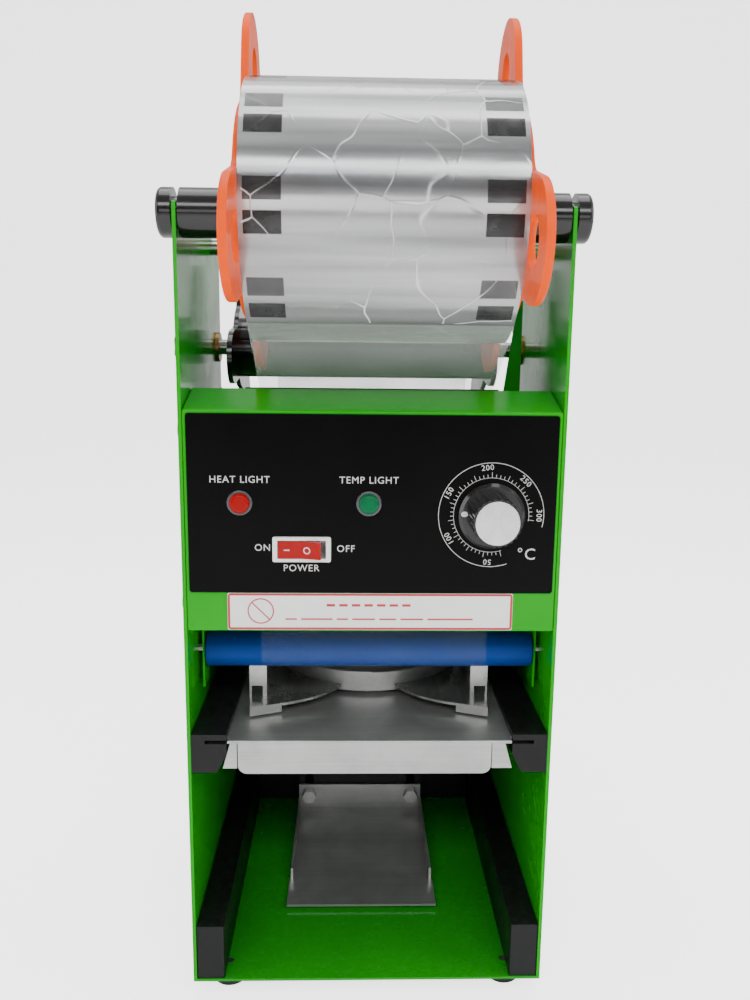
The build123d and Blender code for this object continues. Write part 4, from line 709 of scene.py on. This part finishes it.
@dataclass
class FilmPack:
    """Shaft, clover discs, the wound film in its wrap, and the film web."""

    columns: int = 10
    steps: int = 360
    layers: int = 9
    core_gap: float = 0.0002
    dish: float = 0.00035
    left_dishing: tuple[float, float] = (2.1, 0.0)
    right_dishing: tuple[float, float] = (1.7, 1.0)
    mark_pitch: float = 40.0
    mark_half: float = 4.7
    mark_width: float = 0.0172
    mark_inset: float = 0.0022
    mark_rows: tuple[tuple[float, float], ...] = ((2.5, 0.92), (-10.8, 1.0))
    # The marks fade away from the angle that faces the front: painted sheen on the curve of the roll.
    sheen_fade_least: float = 0.9
    sheen_fade_middle: float = 6.0
    sheen_fade_spread: float = 30.0
    wrap_start: float = -58.0
    wrap_sweep: float = 236.0
    wrap_grid: tuple[int, int] = (96, 240)
    wrap_inset: float = 0.0015
    wrap_cells: tuple[float, float] = (42.0, 2.6)
    ridge_slope: float = 2.2
    fine_cells: float = 3.1
    wrap_lift: float = 0.00006
    ridge_lift: float = 0.00011
    fine_lift: float = 0.00003
    least_lift: float = 0.00002

    def build(self) -> None:
        """Dress the CAD nodes, wind the film and wrap it."""
        dress(BLACK_GLOSS, "film_shaft")
        dress(ORANGE, "film_disc_left", "film_disc_right")
        dress(CARD, "film_core")
        dress(WEB, "film_web")
        self.wind()
        self.wrap()

    def axis(self) -> tuple[Vector, Vector, Vector, float]:
        """Centre, lowest corner, highest corner and radius of the roll."""
        low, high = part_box("film_roll")
        return (low + high) / 2, low, high, (high.z - low.z) / 2

    def angle(self, centre: Vector, point: Vector) -> float:
        """Degrees above the forward direction of a point round the shaft."""
        return math.degrees(math.atan2(point.z - centre.z, centre.y - point.y))

    def ink_at(self, centre: Vector, low: Vector, high: Vector, point: Vector) -> float:
        """How dark the printed mark is at a point of the outer layer, made paler away from the front as painted
        sheen.
        """
        from_left, from_right = point.x - low.x, high.x - point.x
        near = min(from_left, from_right)
        if not self.mark_inset < near < self.mark_inset + self.mark_width:
            return 0.0
        turn = self.angle(centre, point)
        strength = 0.0
        for offset, dark in self.mark_rows:
            away = (turn - offset + self.mark_pitch / 2) % self.mark_pitch - self.mark_pitch / 2
            if abs(away) < self.mark_half:
                # Painted sheen: the mark is darkest where the roll faces the front.
                front_facing_share = math.exp(-((turn - self.sheen_fade_middle) / self.sheen_fade_spread) ** 2)
                strength = dark * (self.sheen_fade_least + (1.0 - self.sheen_fade_least) * front_facing_share)
        return strength

    def dished_end(self, edge: float, inwards: int, reaches: Sequence[float],
                   dishing: tuple[float, float]) -> list[tuple[float, float]]:
        """Profile points of one end of the roll, whose layers stand a little unevenly.

        Args:
            edge: X of the end.
            inwards: 1 where the roll lies towards +X of the end, or -1.
            reaches: Distances from the roll's axis, in order.
            dishing: Pace and phase of the unevenness.

        Returns:
            Pairs of X and distance from the axis.
        """
        pace, phase = dishing
        return [(edge + inwards * self.dish * (0.5 + 0.5 * math.sin(order * pace + phase)), reach)
                for order, reach in enumerate(reaches)]

    def wind(self) -> None:
        """Build the wound film as one revolved profile with its marks."""
        centre, low, high, radius = self.axis()
        core_low, core_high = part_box("film_core")
        core = (core_high.z - core_low.z) / 2
        shape = bmesh.new()
        inset = self.mark_inset
        width = high.x - low.x
        stops = [0.0, inset, inset + self.mark_width]
        stops += [inset + self.mark_width + (width - 2 * (inset + self.mark_width)) * column / self.columns
                  for column in range(1, self.columns)]
        stops += [width - inset - self.mark_width, width - inset, width]
        inner = core + self.core_gap
        reaches = [inner + (radius - core - self.core_gap) * (layer / self.layers) for layer in range(self.layers)]
        profile = self.dished_end(low.x, 1, reaches, self.left_dishing)
        profile += [(low.x + stop, radius) for stop in stops]
        profile += self.dished_end(high.x, -1, reaches[::-1], self.right_dishing)
        verts = [shape.verts.new((x, centre.y, centre.z + r)) for x, r in profile]
        edges = [shape.edges.new((a, b)) for a, b in zip(verts, verts[1:] + verts[:1])]
        bmesh.ops.spin(shape, geom=verts + edges, cent=centre, axis=(1, 0, 0), angle=2 * math.pi, steps=self.steps,
                       use_merge=True)
        bmesh.ops.recalc_face_normals(shape, faces=shape.faces[:])
        layer = shape.faces.layers.float.new("ink")
        for face in shape.faces:
            middle = face.calc_center_median()
            reach = math.hypot(middle.y - centre.y, middle.z - centre.z)
            face[layer] = self.ink_at(centre, low, high, middle) if reach > radius - self.core_gap else 0.0
        piece("wound_film", shape, WOUND, "film_roll", 30.0, replaces=("film_roll",))

    def wrap(self) -> None:
        """Build the crumpled clear wrap that still lies on the roll."""
        centre, low, high, radius = self.axis()
        shape = bmesh.new()
        bmesh.ops.create_grid(shape, x_segments=self.wrap_grid[0], y_segments=self.wrap_grid[1], size=0.5)
        pace, round_pace = self.wrap_cells
        for vert in shape.verts:
            x = low.x + self.wrap_inset + (vert.co.x + 0.5) * (high.x - low.x - 2 * self.wrap_inset)
            turn = math.radians(self.wrap_start + (vert.co.y + 0.5) * self.wrap_sweep)
            cell = Vector((x * pace, math.cos(turn) * round_pace, math.sin(turn) * round_pace))
            ridge = 1.0 - abs(noise.noise(cell)) * self.ridge_slope
            fine = noise.noise(cell * self.fine_cells + Vector((7.0, 1.0, 3.0)))
            lift = self.wrap_lift + self.ridge_lift * max(0.0, ridge) ** 3 + self.fine_lift * fine
            reach = radius + max(self.least_lift, lift)
            vert.co = Vector((x, centre.y - math.cos(turn) * reach, centre.z + math.sin(turn) * reach))
        bmesh.ops.recalc_face_normals(shape, faces=shape.faces[:])
        piece("clear_wrap", shape, WRAP, "film_roll", 60.0)


@dataclass
class ControlPanel:
    """Green box with its overlay, lamps, switch, dial and label."""

    caption_size: float = 0.0052
    caption_places: tuple[tuple[str, str, float, float], ...] = (
        ("HEAT LIGHT", "heat_lamp", 0.0, 0.0122), ("TEMP LIGHT", "ready_lamp", 0.0, 0.0122),
        ("ON", "switch_housing", -0.0208, 0.0006), ("OFF", "switch_housing", 0.0234, 0.0002),
        ("POWER", "switch_housing", -0.0003, -0.0105),
    )
    outer_scale: float = 0.0281
    outer_line: float = 0.0003
    outer_span: tuple[float, float] = (161.0, 302.0)
    inner_scale: float = 0.0201
    inner_line: float = 0.0002
    inner_span: tuple[float, float] = (163.0, 296.0)
    tick_count: int = 48
    tick_span: tuple[float, float] = (165.0, 292.0)
    tick_line: float = 0.00024
    tick_lengths: tuple[float, float] = (0.0030, 0.0018)
    long_tick_every: int = 4
    number_size: float = 0.0042
    number_shift: float = 0.0014
    unit_size: float = 0.0088
    unit_place: tuple[float, float, float] = (0.0196, 0.0, -0.0215)
    numbers: tuple[tuple[str, float], ...] = (
        ("50", 183.0), ("100", 240.0), ("150", 297.0), ("200", 354.0), ("250", 44.0), ("300", 90.0),
    )
    dash_place: float = -0.0067
    dash_size: tuple[float, float] = (0.0030, 0.0006)
    ring_place: float = 0.0040
    ring_radius: float = 0.0016
    ring_line: float = 0.00055
    dot_turn: float = 275.0
    dot_reach: float = 0.0148
    dot_radius: float = 0.0016
    dot_scale: tuple[float, float, float] = (1.15, 0.22, 0.9)

    def build(self) -> None:
        """Dress the CAD nodes and print the panel, dial and label."""
        dress(GREEN, "control_box")
        dress(PANEL, "control_panel")
        dress(LABEL, "blank_label")
        dress(RED_LENS, "heat_lamp")
        dress(GREEN_LENS, "ready_lamp")
        dress(CHROME, "lamp_bezels")
        dress(WHITE, "switch_housing", "terminal_block")
        dress(RED, "rocker")
        dress(BLACK_PLASTIC, "thermostat_body")
        dress(BLACK_GLOSS, "thermostat_knob")
        dress(self.cap_finish(), "knob_cap")
        self.captions()
        self.dial_scale()
        LabelPrint().build()
        self.rocker_marks()
        self.knob_pointer()

    def cap_finish(self) -> Finish:
        """Spun aluminium, with rings about the cap's own middle."""
        centre = centre_of("knob_cap")
        return SpunFinish(
            "spun_cap", "machined_aluminium", (0.8, 0.8, 0.8), (0.6, 0.6, 0.6), (0.22, 0.32), Skin.TURNED, 1.0, 0.01,
            0.35, anisotropic=0.85, middle=tuple(centre),
            skin_values={"Centre": tuple(centre), "Across": (1.0, 0.0, 1.0), "Rings": 5200.0},
        )

    def front(self, x: float, z: float) -> Vector:
        """A point just in front of the overlay."""
        return Vector((x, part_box("control_panel")[0].y - PRINT_LIFT, z))

    def captions(self) -> None:
        """Print the plain function words of the panel."""
        shape = bmesh.new()
        for text, node, right, up in self.caption_places:
            middle = centre_of(node)
            lettering(shape, text, self.front(middle.x + right, middle.z + up), self.caption_size)
        thicken(shape, PRINT_THICKNESS)
        piece("panel_captions", shape, INK, "frame")

    def dial_scale(self) -> None:
        """Print the two arcs, ticks, numbers and unit round the dial."""
        shape = bmesh.new()
        middle = centre_of("thermostat_knob")
        centre = self.front(middle.x, middle.z)
        flat_arc(shape, centre, self.outer_scale, self.outer_line, *self.outer_span)
        flat_arc(shape, centre, self.inner_scale, self.inner_line, *self.inner_span)
        first_tick, tick_sweep = self.tick_span
        long_tick, short_tick = self.tick_lengths
        for step in range(self.tick_count + 1):
            turn = first_tick + tick_sweep * step / self.tick_count
            length = short_tick if step % self.long_tick_every else long_tick
            flat_bar(shape, centre + clock(turn, self.inner_scale + length / 2), self.tick_line, length, turn)
        reach = (self.outer_scale + self.inner_scale) / 2 + self.number_shift
        for text, turn in self.numbers:
            lettering(shape, text, centre + clock(turn, reach), self.number_size, turn)
        lettering(shape, "°C", centre + Vector(self.unit_place), self.unit_size)
        thicken(shape, PRINT_THICKNESS)
        piece("dial_scale", shape, INK, "frame")

    def rocker_marks(self) -> None:
        """Print the dash and the ring on the rocker's two slopes."""
        middle = centre_of("rocker")
        shape = bmesh.new()
        flat_bar(shape, Vector((middle.x + self.dash_place, 0, middle.z)), *self.dash_size)
        ring = Vector((middle.x + self.ring_place, 0, middle.z))
        flat_arc(shape, ring, self.ring_radius, self.ring_line, 0.0, 360.0, 28)
        thicken(shape, PRINT_THICKNESS)
        tree = self.surface_of("rocker")
        for vert in shape.verts:
            hit = tree.ray_cast(Vector((vert.co.x, -1.0, vert.co.z)), Vector((0, 1, 0)))
            vert.co.y += hit[0].y - PRINT_LIFT
        piece("rocker_marks", shape, INK, "rocker")

    def surface_of(self, node: str) -> BVHTree:
        """A tree of a CAD node's faces, for casting onto it."""
        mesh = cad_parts[node].data
        return BVHTree.FromPolygons([v.co.copy() for v in mesh.vertices], [tuple(p.vertices) for p in mesh.polygons])

    def knob_pointer(self) -> None:
        """Inlay the white pointer dot on the knob's skirt."""
        middle = centre_of("thermostat_knob")
        spot = Vector((middle.x, 0, middle.z)) + clock(self.dot_turn, self.dot_reach)
        hit = self.surface_of("thermostat_knob").ray_cast(Vector((spot.x, -1.0, spot.z)), Vector((0, 1, 0)))
        shape = bmesh.new()
        dome = bmesh.ops.create_uvsphere(shape, u_segments=24, v_segments=12, radius=self.dot_radius)["verts"]
        bmesh.ops.scale(shape, vec=self.dot_scale, verts=dome)
        bmesh.ops.translate(shape, vec=(spot.x, hit[0].y, spot.z), verts=dome)
        piece("knob_pointer", shape, INK, "thermostat_knob")


@dataclass
class LabelPrint:
    """Border, plain ring sign and ruled strokes of the label under the panel."""

    border_inset: float = 0.0003
    corner: float = 0.0016
    border: float = 0.0012
    sign_place: tuple[float, float, float] = (-0.0592, 0.0, 0.0003)
    sign_radius: float = 0.0068
    sign_line: float = 0.0007
    slash_length: float = 0.0134
    slash_turn: float = -45.0
    title_strokes: int = 7
    title_start: float = -0.0215
    title_pitch: float = 0.0068
    title_height: float = 0.0036
    title_size: tuple[float, float] = (0.0046, 0.0014)
    words: tuple[int, ...] = (4, 11, 4, 8, 6, 8, 16)
    words_start: float = -0.046
    words_height: float = -0.0042
    letter: float = 0.00155
    word_gap: float = 0.0022
    word_line: float = 0.0009

    def build(self) -> None:
        """Print the label."""
        low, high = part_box("blank_label")
        middle = Vector(((low.x + high.x) / 2, low.y - PRINT_LIFT, (low.z + high.z) / 2))
        shape = bmesh.new()
        self.frame(shape, middle, high.x - low.x, high.z - low.z)
        sign = middle + Vector(self.sign_place)
        flat_arc(shape, sign, self.sign_radius, self.sign_line, 0.0, 360.0, 48)
        flat_bar(shape, sign, self.sign_line, self.slash_length, self.slash_turn)
        for step in range(self.title_strokes):
            spot = Vector((self.title_start + step * self.title_pitch, 0, self.title_height))
            flat_bar(shape, middle + spot, *self.title_size)
        x = self.words_start
        for letters in self.words:
            length = letters * self.letter
            flat_bar(shape, middle + Vector((x + length / 2, 0, self.words_height)), length, self.word_line)
            x += length + self.word_gap
        thicken(shape, PRINT_THICKNESS)
        piece("label_print", shape, RED_INK, "frame")

    def frame(self, shape: Shape, middle: Vector, width: float, height: float) -> None:
        """Add the rounded border line.

        Args:
            shape: The empty bmesh to add to.
            middle: The label's middle.
            width: The label's width.
            height: The label's height.
        """
        flat_bar(shape, middle, width - self.border_inset, height - self.border_inset)
        bmesh.ops.bevel(shape, geom=shape.verts[:], offset=self.corner, segments=6, affect="VERTICES", profile=0.5,
                        material=-1)
        inner = bmesh.ops.inset_region(shape, faces=shape.faces[:], thickness=self.border,
                                       use_boundary=True)["faces"]
        bmesh.ops.delete(shape, geom=[f for f in shape.faces if f not in set(inner)], context="FACES_ONLY")


@dataclass
class Dressed:
    """A sub-assembly whose CAD shapes need a finish and no added detail."""

    name: str
    finishes: tuple[tuple[Finish, tuple[str, ...]], ...]

    def build(self) -> None:
        """Dress the CAD nodes."""
        for finish, nodes in self.finishes:
            dress(finish, *nodes)


TAKE_UP_REEL = Dressed("take_up_reel", (
    (BLACK_GLOSS, ("reel_discs", "reel_core")),
    (BLACK_PLASTIC, ("reel_knob",)),
    (BRIGHT_STEEL, ("reel_shaft",)),
))
DRAWER = Dressed("drawer", (
    (STAINLESS, ("drawer_plate",)),
    (STAINLESS_DEEP, ("ring_wings",)),
    (SILICONE, ("ring_gasket",)),
    (RING, ("cup_ring",)),
))
SEALING_HEAD = Dressed("sealing_head", (
    (ALUMINIUM, ("heating_plate", "head_carriage", "head_bridge")),
    (TOOL_STEEL, ("cutter_ring", "head_rack", "return_springs", "heater_cartridges")),
    (BRONZE, ("bronze_bushes",)),
    (BRIGHT_STEEL, ("guide_rods", "rear_roller")),
    (BLUE, ("front_roller",)),
))
LEVER_DRIVE = Dressed("lever_drive", (
    (BRIGHT_STEEL, ("cross_shaft",)),
    (TOOL_STEEL, ("pinion",)),
    (STAINLESS_DEEP, ("lever_arm",)),
    (BLACK_GLOSS, ("lever_grip",)),
))
CUP_REST = Dressed("cup_rest", (
    (STAINLESS, ("cup_rest_tray", "cup_rest_bracket")),
    (BLACK_PAINT, ("rest_back_plate",)),
    (ZINC, ("rest_bolts",)),
))


@dataclass
class Studio:
    """Pale sweep, soft lights and the camera."""

    distance: float = 0.458
    camera_x: float = -0.0116
    camera_z: float = 0.3788
    pitch: float = 10.4
    yaw: float = 1.6
    roll: float = 0.65
    lens: float = 31.72
    floor_colour: Colour = (0.93, 0.93, 0.93)
    paper_bounce: float = 0.35
    paper_glow: float = 2.2
    sky_above: float = 0.6
    sky_front: float = 0.14
    sky_behind: float = 1.3
    half_width: float = 6.0
    floor_front: float = -3.0
    floor_run: float = 5.0
    floor_share: float = 0.6
    bend: float = 1.2
    bend_share: float = 0.25
    wall: float = 3.0
    lamps: tuple[tuple[str, Sequence[float], Sequence[float], tuple[float, float], float], ...] = (
        ("key_strip", (0, -1.5, 1.33), (0, 0, 0.42), (2.4, 0.36), 24.0),
        ("low_fill", (0.1, -1.5, 0.5), (0, 0, 0.2), (1.4, 0.3), 3.5),
        ("side_right", (1.4, -0.5, 0.8), (0, 0, 0.3), (0.6, 1.2), 9.0),
        ("side_left", (-1.5, -0.4, 0.7), (0, 0, 0.3), (0.6, 1.2), 8.0),
        ("top", (0.0, 0.1, 1.6), (0, 0, 0.4), (1.2, 0.9), 12.0),
    )

    def build(self) -> None:
        """Make the floor, the lights, the world and the camera."""
        self.sweep()
        self.world()
        for name, spot, target, size, power in self.lamps:
            self.lamp(name, spot, target, size, power)
        self.camera()

    def sweep(self) -> None:
        """Build the floor and its backdrop as one curved sheet of white paper."""
        shape = bmesh.new()
        bmesh.ops.create_grid(shape, x_segments=2, y_segments=60, size=1.0)
        for vert in shape.verts:
            share = (vert.co.y + 1.0) / 2
            x = vert.co.x * self.half_width
            if share < self.floor_share:
                vert.co = Vector((x, self.floor_front + share / self.floor_share * self.floor_run, 0.0))
                continue
            past_floor = share - self.floor_share
            turn = min(1.0, past_floor / self.bend_share) * math.pi / 2
            wall_share = 1.0 - self.floor_share - self.bend_share
            rise = max(0.0, (past_floor - self.bend_share) / wall_share) * self.wall
            deep = self.floor_front + self.floor_run + math.sin(turn) * self.bend
            vert.co = Vector((x, deep, (1 - math.cos(turn)) * self.bend + rise))
        made = new_object("studio_sweep", shape)
        made.data.materials.append(self.paper())

    def paper(self) -> bpy.types.Material:
        """White paper, lit through from behind like a light table."""
        material = bpy.data.materials.new("studio_paper")
        material.use_nodes = True
        wires = Wires(material.node_tree)
        tone = wires.mix(wires.noise(place_of(wires), 3.0), self.floor_colour, (0.96, 0.96, 0.96))
        seen = wires.add("ShaderNodeLightPath").outputs["Is Camera Ray"]
        shader = wires.add("ShaderNodeBsdfPrincipled", Base_Color=tone, Roughness=0.75,
                           Emission_Color=(1.0, 1.0, 1.0, 1.0),
                           Emission_Strength=wires.span(seen, self.paper_bounce, self.paper_glow))
        wires.add("ShaderNodeOutputMaterial", Surface=shader.outputs[0])
        return material

    def world(self) -> None:
        """Fill the surroundings: bright above and behind, dim behind the camera."""
        world = bpy.data.worlds.new("soft_white")
        world.use_nodes = True
        wires = Wires(world.node_tree)
        way = wires.add("ShaderNodeSeparateXYZ", Vector=wires.add("ShaderNodeTexCoord").outputs["Generated"])
        above = wires.span(way.outputs["Z"], 0.0, self.sky_above, 0.25, 0.95)
        behind = wires.span(way.outputs["Y"], self.sky_front, self.sky_behind, -0.4, 0.8)
        fill = wires.add("ShaderNodeBackground", Color=(1.0, 1.0, 1.0, 1.0),
                         Strength=wires.maths("ADD", above, behind))
        wires.add("ShaderNodeOutputWorld", Surface=fill.outputs[0])
        bpy.context.scene.world = world

    def lamp(self, name: str, spot: Sequence[float], target: Sequence[float], size: tuple[float, float],
             power: float) -> None:
        """Add one soft rectangular light aimed at a point."""
        data = bpy.data.lights.new(name, "AREA")
        data.shape = "RECTANGLE"
        data.size, data.size_y = size
        data.energy = power
        made = bpy.data.objects.new(name, data)
        made.location = spot
        made.rotation_mode = "QUATERNION"
        made.rotation_quaternion = (Vector(target) - Vector(spot)).to_track_quat("-Z", "Y")
        bpy.context.scene.collection.objects.link(made)

    def camera(self) -> None:
        """Stand the camera in front of the machine, tilted slightly down."""
        data = bpy.data.cameras.new("front_camera")
        data.sensor_width = 36.0
        data.lens = self.lens
        data.clip_start, data.clip_end = 0.02, 30.0
        made = bpy.data.objects.new("front_camera", data)
        pitch, yaw, roll = (math.radians(v) for v in (self.pitch, self.yaw, self.roll))
        forward = Vector((math.sin(yaw) * math.cos(pitch), math.cos(yaw) * math.cos(pitch), -math.sin(pitch)))
        right = Vector((math.cos(yaw), -math.sin(yaw), 0.0))
        up = right.cross(forward)
        right, up = right * math.cos(roll) + up * math.sin(roll), up * math.cos(roll) - right * math.sin(roll)
        place = Matrix((right, up, -forward)).transposed().to_4x4()
        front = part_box("side_plate_left")[0].y
        place.translation = Vector((self.camera_x, front - self.distance, self.camera_z))
        made.matrix_world = place
        bpy.context.scene.collection.objects.link(made)
        bpy.context.scene.camera = made


def main() -> None:
    """Build every sub-assembly in order, then the studio."""
    logging.basicConfig(level=logging.INFO, format="%(name)s: %(message)s")
    for part in (Cabinet(), FilmPack(), TAKE_UP_REEL, ControlPanel(), DRAWER, SEALING_HEAD, LEVER_DRIVE, CUP_REST,
                 Studio()):
        part.build()
        LOG.info("finished %s", getattr(part, "name", type(part).__name__))


if __name__ == "__main__":
    main()
